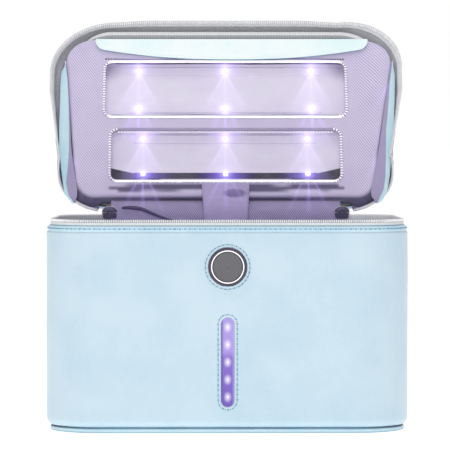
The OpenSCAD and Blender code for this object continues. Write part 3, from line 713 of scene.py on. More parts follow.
@dataclass(frozen=True)
class MouldedPlastic(Finish):
    """ABS or nylon, moulded, with a fine spark-eroded texture where it is matt.

    Attributes:
        colour: Colour of the plastic.
        surface: How its surface was made.
        speckle: Colour of the fine flecks.
    """

    name: str
    colour: str
    surface: Mould
    speckle: str

    def paint(self, tree: Tree, shader: Node) -> None:
        """Flecks 0.6 mm wide over slow patches, and the mould's texture as a slight bump."""
        place = add(tree, "TexCoord", out="Object")
        fleck = add(tree, "TexNoise", {"Scale": 1000 / 0.6, "Detail": 2.0, "Vector": place}, "Fac")
        slow = add(tree, "TexNoise", {"Scale": 1000 / 14, "Detail": 2.0, "Vector": place}, "Fac")
        both = add(tree, "Math", [fleck, 0.5, slow], operation="MULTIPLY_ADD")
        level = add(tree, "MapRange", [both, 0.55, 1.1])
        face = add(tree, "Mix", {0: level, 6: self.colour, 7: self.speckle}, 2, data_type="RGBA")
        feed(shader, {"Base Color": face})
        bump = add(tree, "Bump",
                   {"Strength": self.surface.value * 0.3, "Distance": 0.0001, "Height": fleck})
        feed(shader, {"Normal": bump, "Roughness": self.surface.value})


@dataclass(frozen=True)
class ButtonCap(Finish):
    """The push cap: satin ABS, with painted shade where its rim turns down to the light ring."""

    name: str = "satin_abs_button_cap"

    def paint(self, tree: Tree, shader: Node) -> None:
        """Grey face with painted shade on its rim, by distance from the button's axis."""
        place = add(tree, "TexCoord", out="Object")
        centred = add(tree, "Mapping",
                      {"Location": (0, 0, -BUTTON_Z), "Scale": (1000, 0, 1000), "Vector": place})
        out = add(tree, "VectorMath", [centred], "Value", operation="LENGTH")
        rim = add(tree, "MapRange", [out, CAP_R - 0.5, CAP_R + 0.1])
        fleck = add(tree, "TexNoise", {"Scale": 1000 / 1.4, "Detail": 1.0, "Vector": place}, "Fac")
        spot = add(tree, "MapRange", [fleck, 0.66, 0.74])
        face = add(tree, "Mix", {0: spot, 6: "#626267", 7: "#746E82"}, 2, data_type="RGBA")
        mix = add(tree, "Mix", {0: rim, 6: face, 7: "#37323F"}, 2, data_type="RGBA")
        feed(shader, {"Base Color": mix, "Roughness": 0.5})


@dataclass(frozen=True)
class LitDiffuser(Finish):
    """Opal polycarbonate lit from behind, even and nearly white.

    Attributes:
        colour: Colour of its light.
        strength: Strength of its light.
    """

    name: str
    colour: str = "#F8F6FF"
    strength: float = 1.1

    def paint(self, tree: Tree, shader: Node) -> None:
        """Even light with a slight mottle of the opal plastic."""
        place = add(tree, "TexCoord", out="Object")
        mottle = add(tree, "TexNoise", {"Scale": 1000 / 3, "Detail": 2.0, "Vector": place}, "Fac")
        face = add(tree, "Mix", {0: mottle, 6: self.colour, 7: "#FFFFFF"}, 2, data_type="RGBA")
        feed(shader, {"Base Color": face, "Emission Color": self.colour,
                      "Emission Strength": self.strength, "Roughness": 0.3})


@dataclass(frozen=True)
class RingDiffuser(Finish):
    """Opal polycarbonate ring whose light shows between two darker lips."""

    name: str = "opal_polycarbonate_ring"

    def paint(self, tree: Tree, shader: Node) -> None:
        """White light between two radii round the button's axis."""
        place = add(tree, "TexCoord", out="Object")
        centred = add(tree, "Mapping",
                      {"Location": (0, 0, -BUTTON_Z), "Scale": (1000, 0, 1000), "Vector": place})
        out = add(tree, "VectorMath", [centred], "Value", operation="LENGTH")
        inner = add(tree, "MapRange", [out, 13.9, 14.2])
        outer = add(tree, "MapRange", [out, 14.9, 15.4, 1.0, 0.0])
        lit = add(tree, "Math", [inner, outer], operation="MULTIPLY")
        face = add(tree, "Mix", {0: lit, 6: "#3F3947", 7: "#FFFFFF"}, 2, data_type="RGBA")
        feed(shader, {"Base Color": face})
        glow = add(tree, "Math", [lit, 0.25], operation="MULTIPLY")
        feed(shader, {"Emission Color": "#F8F6FF", "Emission Strength": glow, "Roughness": 0.3})


@dataclass(frozen=True)
class LevelLens(Finish):
    """Tinted polycarbonate over five lamps: violet and paler at the top, with painted shade along its left
    edge and painted light along its right.
    """

    name: str = "tinted_polycarbonate_lens"

    def paint(self, tree: Tree, shader: Node) -> None:
        """A violet run from top to bottom with a white star and a halo at each lamp."""
        place = add(tree, "TexCoord", out="Object")
        plan = add(tree, "Mapping",
                   {"Location": (0, 0, -INDICATOR_Z), "Scale": (1000, 1000, 1000), "Vector": place})
        axes = add(tree, "SeparateXYZ", [plan], None)
        rise = add(tree, "MapRange", [axes[2], -INDICATOR_L / 2, INDICATOR_L / 2])
        run = add(tree, "ValToRGB", [rise])
        ramp = run.node.color_ramp
        ramp.elements[0].color = linear("#6A4FB0")
        ramp.elements[1].color = linear("#A390D2")
        ramp.elements.new(0.55).color = linear("#8066BE")
        ramp.elements.new(0.62).color = linear("#A48ED4")
        # Painted shade along the left edge and painted light along the right edge.
        left = add(tree, "MapRange", [axes[0], -3.6, -INDICATOR_W / 2])
        right = add(tree, "MapRange", [axes[0], 3.8, INDICATOR_W / 2, 0.0, 0.6])
        shaded = add(tree, "Mix", {0: left, 6: run, 7: "#5B4AA0"}, 2, data_type="RGBA")
        dark = add(tree, "Mix", {0: right, 6: shaded, 7: "#B6A6E2"}, 2, data_type="RGBA")
        near = add(tree, "Math", [axes[2], -INDICATOR_PITCH / 2, INDICATOR_PITCH / 2], operation="WRAP")
        tall = add(tree, "Math", [near, 0.72], operation="MULTIPLY")
        away = add(tree, "CombineXYZ", [axes[0], tall])
        gap = add(tree, "VectorMath", [away], "Value", operation="LENGTH")
        halo = add(tree, "MapRange", [gap, 0.5, 4.4, 0.55, 0.0], interpolation_type="SMOOTHSTEP")
        core = add(tree, "MapRange", [gap, 0.3, 1.5, 1.0, 0.0], interpolation_type="SMOOTHSTEP")
        most = add(tree, "Math", [halo, core], operation="MAXIMUM")
        glow = add(tree, "Mix", {0: most, 6: dark, 7: "#FBF6FF"}, 2, data_type="RGBA")
        feed(shader, {"Base Color": glow, "Emission Color": glow, "Emission Strength": 0.12,
                      "Roughness": 0.3})


@dataclass(frozen=True)
class MirrorTray(Finish):
    """Vacuum-metallised polystyrene tray, seen as a soft pale violet that the lamps light up."""

    name: str = "metallised_polystyrene_tray"

    def paint(self, tree: Tree, shader: Node) -> None:
        """Slow violet patches, painted shade in the corners, a painted dark reflection of the film at the
        lower window's ends, and the lamps' shares of light.
        """
        plan = add(tree, "Group", node_tree=lid_plan())
        stretched = add(tree, "Mapping", {"Scale": (1.0, 3.0, 3.0), "Vector": plan})
        slow = add(tree, "TexNoise", {"Scale": 1 / 90, "Detail": 2.0, "Vector": stretched}, "Fac")
        tone = add(tree, "Mix", {0: slow, 6: "#DAD2EA", 7: "#EEE9F7"}, 2, data_type="RGBA")
        axes = add(tree, "SeparateXYZ", [plan], None)
        # Painted shade in the upper window's front corners.
        side = add(tree, "Math", [axes[0]], operation="ABSOLUTE")
        both = add(tree, "CombineXYZ", [side, axes[1]])
        corner = add(tree, "VectorMath", [both, (121.0, -63.0, 0.0)], "Value", operation="DISTANCE")
        shade = add(tree, "MapRange", [corner, 3.0, 24.0, 0.6, 0.0], interpolation_type="SMOOTHSTEP")
        tone = add(tree, "Mix", {0: shade, 6: tone, 7: "#8279A4"}, 2, data_type="RGBA")
        # Painted reflection of the film: a dark wedge at both ends of the lower window's back edge, darkest
        # furthest out.
        edge = add(tree, "Math", [side, -0.26, 86.6], operation="MULTIPLY_ADD")
        past = add(tree, "Math", [axes[1], edge], operation="SUBTRACT")
        wedge = add(tree, "MapRange", [past, 0.0, 1.0])
        out = add(tree, "MapRange", [side, 88.0, 104.0])
        dark = add(tree, "Mix", {0: out, 6: "#5B49A0", 7: "#221B38"}, 2, data_type="RGBA")
        tone = add(tree, "Mix", {0: wedge, 6: tone, 7: dark}, 2, data_type="RGBA")
        feed(shader, {"Base Color": tone, "Emission Color": "#D6C6FF",
                      "Emission Strength": lamp_light(tree, Core=3.0, Halo=0.55, Near=0.1, Cone=0.17,
                                                      Rays=0.1), "Roughness": 0.5,
                      "Specular IOR Level": 0.3})


@dataclass(frozen=True)
class StarLamp(Finish):
    """The lens of a lamp in the lid: white in its middle, fading to the tray's violet."""

    name: str = "violet_lamp_lens"

    def paint(self, tree: Tree, shader: Node) -> None:
        """Even violet under the lamps' own light."""
        place = add(tree, "TexCoord", out="Object")
        mottle = add(tree, "TexNoise", {"Scale": 1000 / 3, "Detail": 1.0, "Vector": place}, "Fac")
        face = add(tree, "Mix", {0: mottle, 6: "#CFC2E8", 7: "#DDD4F0"}, 2, data_type="RGBA")
        feed(shader, {"Base Color": face, "Emission Color": "#EDE6FF",
                      "Emission Strength": lamp_light(tree, Core=3.5, Halo=0.5)})


@dataclass(frozen=True)
class ClearFilm(Finish):
    """Plasticised PVC film: clear, faintly violet, with the soft gloss of a bent sheet."""

    name: str = "clear_pvc_film"

    def paint(self, tree: Tree, shader: Node) -> None:
        """Mostly see-through, with slow waves that catch the light."""
        place = add(tree, "TexCoord", out="Object")
        wave = add(tree, "TexNoise", {"Scale": 1000 / 60, "Detail": 1.0, "Vector": place}, "Fac")
        bump = add(tree, "Bump", {"Strength": 0.5, "Distance": 0.004, "Height": wave})
        feed(shader, {"Normal": bump})
        haze = add(tree, "TexNoise", {"Scale": 1000 / 25, "Detail": 2.0, "Vector": place}, "Fac")
        cover = add(tree, "MapRange", [haze, 0.3, 0.8, 0.02, 0.07])
        feed(shader, {"Alpha": cover, "Base Color": "#F1ECFA", "Roughness": 0.12, "IOR": 1.53,
                      "Specular IOR Level": 0.22})


@dataclass(frozen=True)
class PlatedMetal(Finish):
    """Metal with a cast, drawn or turned surface under its plating.

    Attributes:
        colour: Colour of the metal.
        dull: Colour where it is dull.
        roughness: Its roughness where it is bright.
    """

    name: str
    colour: str
    dull: str
    roughness: float

    def paint(self, tree: Tree, shader: Node) -> None:
        """Bright metal with dull patches 2 mm wide."""
        place = add(tree, "TexCoord", out="Object")
        patch = add(tree, "TexNoise", {"Scale": 1000 / 2, "Detail": 3.0, "Vector": place}, "Fac")
        face = add(tree, "Mix", {0: patch, 6: self.dull, 7: self.colour}, 2, data_type="RGBA")
        feed(shader, {"Base Color": face})
        rough = add(tree, "MapRange", [patch, 0.2, 0.8, self.roughness, self.roughness + 0.2])
        feed(shader, {"Roughness": rough, "Metallic": 1.0})


@dataclass(frozen=True)
class PressedBoard(Finish):
    """Greyboard or circuit laminate, pressed from fibres or glass cloth that show as flecks.

    Attributes:
        colour: Its main colour.
        fibre: Colour of the fibres.
        size: Length of a fibre in millimetres.
    """

    name: str
    colour: str
    fibre: str
    size: float

    def paint(self, tree: Tree, shader: Node) -> None:
        """Flecks that are longer than they are wide."""
        place = add(tree, "TexCoord", out="Object")
        long = add(tree, "Mapping", {"Scale": (1.0, 3.0, 3.0), "Vector": place})
        fleck = add(tree, "TexNoise", {"Scale": 1000 / self.size, "Detail": 5.0, "Vector": long}, "Fac")
        level = add(tree, "MapRange", [fleck, 0.45, 0.7])
        face = add(tree, "Mix", {0: level, 6: self.colour, 7: self.fibre}, 2, data_type="RGBA")
        feed(shader, {"Base Color": face, "Roughness": 0.8})


@dataclass(frozen=True)
class LampLitDark(Finish):
    """A dark violet piece that the lamps colour violet where it comes near them.

    Attributes:
        colour: Its colour away from the lamps.
        lit: Its colour next to a lamp.
        start: How far back in the lid it is dark; ahead of that it is as pale as the tray.
    """

    name: str
    colour: str
    lit: str
    start: float = -200.0

    def paint(self, tree: Tree, shader: Node) -> None:
        """Dark with violet round the lamps, and flecks 1.5 mm wide."""
        plan = add(tree, "Group", node_tree=lid_plan())
        glow = add(tree, "Group", out="Near", node_tree=LampGlow().group())
        tone = add(tree, "Mix", {0: glow, 6: self.colour, 7: self.lit}, 2, data_type="RGBA")
        fleck = add(tree, "TexNoise", {"Scale": 1 / 1.5, "Detail": 2.0, "Vector": plan}, "Fac")
        level = add(tree, "MapRange", [fleck, 0.55, 0.75, 0.0, 0.12])
        flecked = add(tree, "Mix", {0: level, 6: tone, 7: "#6F6492"}, 2, data_type="RGBA")
        axes = add(tree, "SeparateXYZ", [plan], 1)
        back = add(tree, "MapRange", [axes, self.start, self.start + 0.8])
        face = add(tree, "Mix", {0: back, 6: "#E6DFF3", 7: flecked}, 2, data_type="RGBA")
        feed(shader, {"Base Color": face, "Emission Color": "#CDBBFF",
                      "Emission Strength": lamp_light(tree, Core=3.0, Halo=0.6, Near=0.1),
                      "Roughness": 0.6, "Specular IOR Level": 0.2})


LEATHER = CoatedLeather("pu_leather_pale_blue", "#C6DBE6", "#BDD5E2")
WALL_LEATHER = CoatedLeather("pu_leather_pale_blue_wall", "#C6DBE6", "#BDD5E2", pucker=4.6)
TRIM_LEATHER = CoatedLeather("pu_leather_trim", "#A9D2E6", "#93C2DA", roughness=0.5)
FLAP_LEATHER = CoatedLeather("pu_leather_flap", "#F6FFFF", "#E4FBFD", roughness=0.5)
SIDE_LEATHER = CoatedLeather("pu_leather_side_flap", "#C6E2ED", "#B4D8E6", roughness=0.5)
# Dark leather of the base's welt, partly its own colour and partly painted shade under the wall's curl; on
# the rim tape's foot it is painted shade between tape and collar.
WELT_SHADE = CoatedLeather("pu_leather_welt", "#86B4CB", "#719FB6", roughness=0.7)
COLLAR_LEATHER = CoatedLeather("pu_leather_collar", "#C8E3F0", "#BCDAE9", roughness=0.5)
BASE_LEATHER = UnderShadedLeather("pu_leather_base_edge", "#D0E8F2", "#C4DFEC", roughness=0.5)
PANEL_TWILL = WovenTwill("polyester_twill_panel", "#E3DAF2", "#A79CC6", lit=1.0)
LINING_TWILL = WovenTwill("polyester_twill_lining", "#CFC4E4", "#A296C2")
# The flaps' lining twill, painted darker than the wall's lining as shade inside the flaps.
FLAP_TWILL = WovenTwill("polyester_twill_flap", "#B9AFD2", "#8A80A8", pitch=1.7)
# The hinge lining, painted darker than the wall's lining as shade under the lid; the hinge and sleeve fold
# colours are painted shade.
HINGE_TWILL = WovenTwill("polyester_twill_hinge", "#B0A5CC", "#766B98", fold="#3F3566", pitch=1.8, lit=0.8)
SLEEVE_TWILL = WovenTwill("polyester_twill_sleeve", "#C4B6E0", "#9384B8", fold="#6A6090", pitch=1.6,
                          lit=0.7)
TAPE = WovenTape("polyester_zip_tape", "#F0F1F2", "#CFD1D4")
# A little darker than the tape: painted shade under the lid coil's turns.
UNDER_TAPE = WovenTape("polyester_zip_tape_under_teeth", "#E2E3E5", "#CDCED1")
# Painted shade on the rim tape's outer face behind the coil, between its turns.
RIM_TAPE_TEETH_SHADE = WovenTape("polyester_rim_tape_shade_between_teeth", "#9FA1A5", "#8C8E92")
# The end of the white lid tape, painted dark violet as the shade it hangs in.
TAIL = MouldedPlastic("polyester_tape_end", "#5E5580", Mould.SPARK_ERODED, "#4A4268")
# Painted shade on the inner face of the tape.
INNER_TAPE_SHADE = WovenTape("polyester_zip_tape_inside_shade", "#C2C4C7", "#A2A4A8")
BAND = BandCloth()
EDGE_LEATHER = CoatedLeather("pu_leather_flap_edge", "#8FC8D4", "#7DBBCB", roughness=0.5)
FOLD_LEATHER = CoatedLeather("pu_leather_side_edge", "#F4FAFC", "#E6F2F6", roughness=0.5)
GATHER = WovenTape("gathered_hem_tape", "#ECEDEE", "#CFD0D3")
GATHER_SHADE = WovenTape("gathered_hem_underside", "#B4B5B8", "#9A9B9E")
COIL = MouldedPlastic("nylon_zip_coil", "#FFFFFF", Mould.SATIN, "#EDEEF0")
BEAD_CORE = MouldedPlastic("pvc_bead_core", "#B5ACCB", Mould.SPARK_ERODED, "#A69CBF")
# The window bead is no lamp: its white glow is painted light for the lamps' light catching it.
BEAD_PAINTED_GLOW = LitDiffuser("pvc_window_bead_painted_glow", "#FFFFFF", 0.35)
DARK_ABS = MouldedPlastic("satin_abs_bezel", "#3F3947", Mould.SPARK_ERODED, "#4C4556")
HOUSING_ABS = MouldedPlastic("satin_abs_housing", "#D9DDE0", Mould.SPARK_ERODED, "#C7CCD1")
CAP = ButtonCap()
RING_LIGHT = RingDiffuser()
LEVEL_LAMP = LitDiffuser("opal_level_lamp", "#FFFFFF", 1.5)
STAR_LAMP = StarLamp()
LENS = LevelLens()
TRAY = MirrorTray()
FILM = ClearFilm()
SLIDER_ZINC = PlatedMetal("plated_zinc_slider", "#6E6A80", "#3C374E", 0.35)
# Painted highlight on the sliders' plates: bright rings and bars laid on the dark zinc.
ZINC_HIGHLIGHT = PlatedMetal("zinc_painted_highlight", "#E8E6EE", "#C0BCCB", 0.35)
SPRING_STEEL = PlatedMetal("drawn_spring_steel", "#B8BABD", "#8C8E92", 0.25)
NUT_BRASS = PlatedMetal("turned_brass_nut", "#D2B26A", "#A88945", 0.3)
GREYBOARD = PressedBoard("pressed_greyboard", "#8C8C88", "#A5A49E", 2.5)
LAMINATE = PressedBoard("glass_epoxy_laminate", "#2F5A48", "#3D6C58", 0.8)
# The last row's strip is painted dark as shade at the back of the lower window's recess; the strips ahead of
# it are painted as pale as the tray.
STRIP = LampLitDark("violet_lamp_strip", "#150F2A", "#6A50D8", start=63.4)
# Dark rows along the window beads: partly seam thread, partly painted shadow along the beads.
SEAM = LampLitDark("violet_seam_thread", "#241D3E", "#7A68C8")
THREAD = MouldedPlastic("spun_polyester_thread", "#6FAECB", Mould.SPARK_ERODED, "#4A86A3")
# Painted shade in the needle holes.
NEEDLE_HOLE_SHADE = MouldedPlastic("needle_hole_shade", "#3A5A6C", Mould.SPARK_ERODED, "#446A7E")


# What repeats along a path


@dataclass(frozen=True)
class Run:
    """Small rounded forms set along a path by Geometry Nodes.

    Attributes:
        name: The piece's name.
        finish: What the forms are made of.
        pitch: Distance from one to the next in millimetres.
        size: Size of a form along the path, across it and out from it in millimetres.
        wobble: Share by which sizes differ at random.
        lift: How far the forms stand off the path in millimetres.
    """

    name: str
    finish: Finish
    pitch: float
    size: tuple[float, float, float]
    wobble: float = 0.0
    lift: float = 0.0

    def tree(self) -> Tree:
        """The shared tree, with an input for each size."""
        found = bpy.data.node_groups.get("run_along_path")
        if found:
            return found
        tree = bpy.data.node_groups.new("run_along_path", "GeometryNodeTree")
        for name, kind in (("Path", "Geometry"), ("Pitch", "Float"), ("Size", "Vector"), ("Wobble", "Float"),
                           ("Lift", "Float"), ("Finish", "Material")):
            tree.interface.new_socket(name=name, in_out="INPUT", socket_type=f"NodeSocket{kind}")
        tree.interface.new_socket(name="Pieces", in_out="OUTPUT", socket_type="NodeSocketGeometry")
        given = add(tree, "NodeGroupInput", out=None)
        out = add(tree, "GeometryNodeInputNamedAttribute", {"Name": "out"}, data_type="FLOAT_VECTOR")
        curve = add(tree, "GeometryNodeMeshToCurve", [given["Path"]])
        even = add(tree, "GeometryNodeResampleCurve", {"Curve": curve, "Length": given["Pitch"]},
                   mode="LENGTH")
        shift = add(tree, "VectorMath", {0: out, "Scale": given["Lift"]}, operation="SCALE")
        seated = add(tree, "GeometryNodeSetPosition", {"Geometry": even, "Offset": shift})
        tangent = add(tree, "GeometryNodeInputTangent")
        first = add(tree, "FunctionNodeAlignRotationToVector", {"Vector": tangent}, axis="X")
        second = add(tree, "FunctionNodeAlignRotationToVector", {"Rotation": first, "Vector": out},
                     axis="Z", pivot_axis="X")
        ball = add(tree, "GeometryNodeMeshUVSphere", {"Segments": 6, "Rings": 4, "Radius": 0.5}, "Mesh")
        soft = add(tree, "GeometryNodeSetShadeSmooth", [ball])
        low = add(tree, "Math", [1.0, given["Wobble"]], operation="SUBTRACT")
        high = add(tree, "Math", [1.0, given["Wobble"]])
        chance = add(tree, "FunctionNodeRandomValue", {"Seed": 7, 2: low, 3: high}, 1)
        scale = add(tree, "VectorMath", {0: given["Size"], "Scale": chance}, operation="SCALE")
        placed = add(tree, "GeometryNodeInstanceOnPoints",
                     {"Points": seated, "Instance": soft, "Rotation": second, "Scale": scale})
        real = add(tree, "GeometryNodeRealizeInstances", [placed])
        dressed = add(tree, "GeometryNodeSetMaterial", {"Geometry": real, "Material": given["Finish"]})
        add(tree, "NodeGroupOutput", [dressed], None)
        return tree

    def along(self, points: np.ndarray, out: np.ndarray, ring: bool) -> Object:
        """Sets the forms along a path.

        Args:
            points: The path in millimetres.
            out: The direction out of the surface at each point.
            ring: Whether the path is closed.

        Returns:
            The forms as one plain mesh.
        """
        n = len(points)
        mesh = bpy.data.meshes.new(self.name)
        edges = [(i, (i + 1) % n) for i in range(n if ring else n - 1)]
        mesh.from_pydata((points * MM).tolist(), edges, [])
        mesh.attributes.new("out", "FLOAT_VECTOR", "POINT").data.foreach_set(
            "vector", out.astype(np.float32).ravel())
        made = linked(self.name, mesh)
        run = made.modifiers.new("run", "NODES")
        run.node_group = self.tree()
        known = {s.name: s.identifier for s in run.node_group.interface.items_tree if s.in_out == "INPUT"}
        run[known["Pitch"]] = self.pitch * MM
        run[known["Size"]] = [s * MM for s in self.size]
        run[known["Wobble"]] = self.wobble
        run[known["Lift"]] = self.lift * MM
        run[known["Finish"]] = self.finish.material()
        return applied(made)


def stitched(name: str, points: np.ndarray, out: np.ndarray, pitch: float, ring: bool) -> list[Object]:
    """A row of lockstitches: thread that lies on the leather, and the needle holes between as dark marks of
    painted shade.

    Args:
        name: Start of the two pieces' names.
        points: The row's path in millimetres.
        out: The direction out of the leather at each point.
        pitch: Length of a stitch in millimetres.
        ring: Whether the row is closed.

    Returns:
        The thread and the needle holes.
    """
    thread = Run(f"{name}_thread", THREAD, pitch, (pitch * 0.56, 1.25, 0.9), 0.08, 0.3)
    holes = Run(f"{name}_holes", NEEDLE_HOLE_SHADE, pitch, (0.95, 0.8, 0.5), 0.15, 0.1)
    step = points[1] - points[0]
    half = np.linalg.norm(step)
    moved = points + step / half * pitch / 2 if not ring else shifted(points, pitch / 2)
    return [thread.along(points, out, ring), holes.along(moved, out, ring)]


def shifted(points: np.ndarray, by: float) -> np.ndarray:
    """Points of a closed path, each moved along the path by a distance."""
    ring = np.vstack([points, points[:1]])
    s = path_lengths(ring)
    at = (s[:-1] + by) % s[-1]
    return np.stack([np.interp(at, s, ring[:, k]) for k in range(3)], 1)


# Cut cloth


@dataclass
class Patch:
    """A flat cut of cloth or leather, meshed between its edge and its holes.

    Attributes:
        edge: The outline as rows of x and y in millimetres.
        holes: Outlines that are cut out.
        step: Distance between points in millimetres.
    """

    edge: np.ndarray
    holes: list[np.ndarray]
    step: float

    def mesh(self) -> tuple[np.ndarray, list[tuple[int, ...]]]:
        """Points and triangles of the cut, with the outline's points first."""
        low, high = self.edge[:, :2].min(0), self.edge[:, :2].max(0)
        xs = np.arange(low[0] + self.step / 2, high[0], self.step)
        ys = np.arange(low[1] + self.step / 2, high[1], self.step * 0.866)
        grid = np.array([(x + (self.step / 2 if k % 2 else 0), y) for k, y in enumerate(ys) for x in xs])
        keep = inside(grid, self.edge) & (distance(grid, self.edge) > self.step * 0.55)
        for hole in self.holes:
            keep &= ~inside(grid, hole) & (distance(grid, hole) > self.step * 0.55)
        rings = [self.edge[:, :2], *[h[:, :2] for h in self.holes]]
        edges: list[tuple[int, int]] = []
        start = 0
        for ring in rings:
            edges += [(start + i, start + (i + 1) % len(ring)) for i in range(len(ring))]
            start += len(ring)
        points = np.vstack([*rings, grid[keep]])
        found = geometry.delaunay_2d_cdt([Vector(p) for p in points], edges, [], 1, 1e-4)
        flat = np.array([tuple(v) for v in found[0]])
        middles = np.array([flat[list(f)].mean(0) for f in found[2]])
        gone = np.zeros(len(middles), bool)
        for hole in self.holes:
            gone |= inside(middles, hole)
        return flat, [tuple(f) for f, out in zip(found[2], gone) if not out]


# The body


def front_gaps(x: np.ndarray, z: np.ndarray) -> tuple[np.ndarray, np.ndarray]:
    """Distance of places on the front from the button's axis, and from the level window's edge."""
    reach = np.maximum(np.abs(z - INDICATOR_Z) - (INDICATOR_L - INDICATOR_W) / 2, 0)
    return np.hypot(x, z - BUTTON_Z), np.hypot(x, reach) - INDICATOR_W / 2


def front_shape(x: np.ndarray, z: np.ndarray) -> np.ndarray:
    """How far the front leather stands out or in round the button and the level window."""
    r, d = front_gaps(x, z)
    button = 0.5 * bump_at(r, 18.9, 0.8) - 0.4 * bump_at(r, BUTTON_STITCH_R, 0.8)
    button += 0.25 * bump_at(r, 22.6, 1.5)
    slot = 0.3 * bump_at(d, 1.1, 0.9) - 0.35 * bump_at(d, WINDOW_STITCH_GAP, 0.8) + 0.2 * bump_at(d, 4.6, 1.4)
    return button + slot


def soft_ring(inset: float, step: float) -> np.ndarray:
    """The body's outline in leather, which swells past its boards at the front and sides but not at the back.

    Args:
        inset: Distance in from the outline in millimetres.
        step: Largest distance between points.

    Returns:
        Rows of x, y and the outward angle in radians.
    """
    ring = rounded(BODY_W - 2 * inset, BODY_D - 2 * inset, CORNER_R - inset, step)
    ring[:, 0] *= 1 + 2 * SOFT_SIDE / BODY_W * (1 - ease((ring[:, 1] + 45) / 80))
    return ring


@dataclass
class BodyLeather:
    """The leather of the wall, its rows of stitches and the zip on its rim.

    Attributes:
        step: Distance between points of the wall in millimetres.
        stitch: Length of a stitch on the collar in millimetres.
    """

    step: float = 3.0
    stitch: float = 4.6

    def swell(self, ring: np.ndarray, z: float) -> np.ndarray:
        """How far the wall stands out at a height, in millimetres."""
        share = np.clip((z - SEAM_Z) / (WALL_TOP - SEAM_Z), 0, 1)
        crown = 0.5 * math.sin(math.pi * share) ** 0.6
        points = at_height(ring[:, :2], z)
        slow = 0.45 * ripple(points, 70.0, 1.0) * min(1.0, (WALL_TOP - z) / 12, (z - SEAM_Z) / 12)
        low_pucker = 0.3 * ripple(points, 9.0, 3.0) * math.exp(-((z - SEAM_Z - 6) / 6) ** 2)
        front = ring[:, 1] < FRONT_Y + 1
        r, d = front_gaps(ring[:, 0], np.full(len(ring), z))
        calm = np.where(front, np.minimum(ease((r - 18) / 14), ease((d - 1) / 12)), 1.0)
        shaped = front_shape(ring[:, 0], np.full(len(ring), z)) * front
        return (crown + slow) * (0.15 + 0.85 * calm) + low_pucker + shaped

    def on_front(self, path: np.ndarray) -> np.ndarray:
        """Points of a path of x and z, laid on the front leather."""
        stand = [self.swell(np.array([[x, FRONT_Y, -math.pi / 2]]), z)[0] for x, z in path]
        return np.column_stack([path[:, 0], FRONT_Y - np.array(stand), path[:, 1]])

    def wall(self) -> Object:
        """The leather wall, curled in at the bottom and turned over at the top."""
        ring = soft_ring(0.0, self.step)
        fine = (ring[:, 1] < FRONT_Y + 1) & (np.abs(ring[:, 0]) < 40)
        extra: list[np.ndarray] = []
        for i, row in enumerate(ring):
            extra.append(row)
            if fine[i] and fine[(i + 1) % len(ring)]:
                nxt = ring[(i + 1) % len(ring)]
                extra += [row + (nxt - row) * k / 3 for k in (1, 2)]
        ring = np.array(extra)
        curl_r = (CURL_H ** 2 + BASE_INSET ** 2) / (2 * BASE_INSET)
        curl = math.degrees(math.asin(CURL_H / curl_r))
        profile = arc(-curl_r, SEAM_Z + CURL_H, curl_r, -curl, 0, 8)
        high = SOFT_TOP - SOFT_EDGE_R
        levels = [SEAM_Z + CURL_H]
        while levels[-1] < high - 0.5:
            z = levels[-1]
            busy = abs(z - BUTTON_Z) < 26 or abs(z - INDICATOR_Z) < 48 or z > high - 8
            levels.append(min(high, z + (1.1 if busy else 3.0)))
        profile += [(0.0, z) for z in levels[1:]]
        profile += arc(-SOFT_EDGE_R, high, SOFT_EDGE_R, 0, 90, 5)[1:]
        rows = []
        for out, z in profile:
            lean = 1 - 0.3 * np.abs(np.cos(ring[:, 2])) * (z < SEAM_Z + CURL_H)
            push = out * lean + self.swell(ring, z)
            rows.append(ring_at(ring, push, z))
        run = path_lengths(ring[:, :2])
        uv = np.stack([at_height(run, z) * MM for _, z in profile], 1)
        made = loft("leather_wall", np.stack(rows, 1), WALL_LEATHER, ring=True, uv=uv)
        self.cut(made)
        solid(made, 1.0)
        return applied(made)

    def cut(self, made: Object) -> None:
        """Opens the wall for the button's barrel, the level window and the power inlet."""
        with edited(made) as shape:
            gone = []
            for face in shape.faces:
                x, y, z = face.calc_center_median() / MM
                if y < FRONT_Y + 4 and abs(x) < 30:
                    r = math.hypot(x, z - BUTTON_Z)
                    reach = max(abs(z - INDICATOR_Z) - (INDICATOR_L - INDICATOR_W) / 2, 0)
                    if r < BEZEL_R - 0.4 or math.hypot(x, reach) < INDICATOR_W / 2:
                        gone.append(face)
                if y > -FRONT_Y - 4 and abs(x - INLET_X) < 6 and abs(z - INLET_Z) < 3.6:
                    gone.append(face)
            bmesh.ops.delete(shape, geom=gone, context="FACES")
            for vert in shape.verts:
                if vert.is_boundary:
                    x, y, z = vert.co / MM
                    if y < FRONT_Y + 4 and abs(x) < 30 and abs(z - INDICATOR_Z) < INDICATOR_L / 2 + 4:
                        top = max(-(INDICATOR_L - INDICATOR_W) / 2,
                                  min((INDICATOR_L - INDICATOR_W) / 2, z - INDICATOR_Z))
                        away = Vector((x, z - INDICATOR_Z - top))
                        away = away.normalized() * (INDICATOR_W / 2)
                        vert.co = Vector((away.x, y + 0.35, INDICATOR_Z + top + away.y)) * MM

    @staticmethod
    def band(name: str, section: list[tuple[float, float]], finish: Finish) -> Object:
        """A closed band round the body.

        Args:
            name: The piece's name.
            section: Its section as distance out from the soft outline and height.
            finish: What it is made of.

        Returns:
            The band.
        """
        ring = soft_ring(0.0, 3.0)
        rows = [ring_at(ring, out, z) for out, z in section]
        return outward(loft(name, np.stack(rows, 1), finish, ring=True, shell=True))

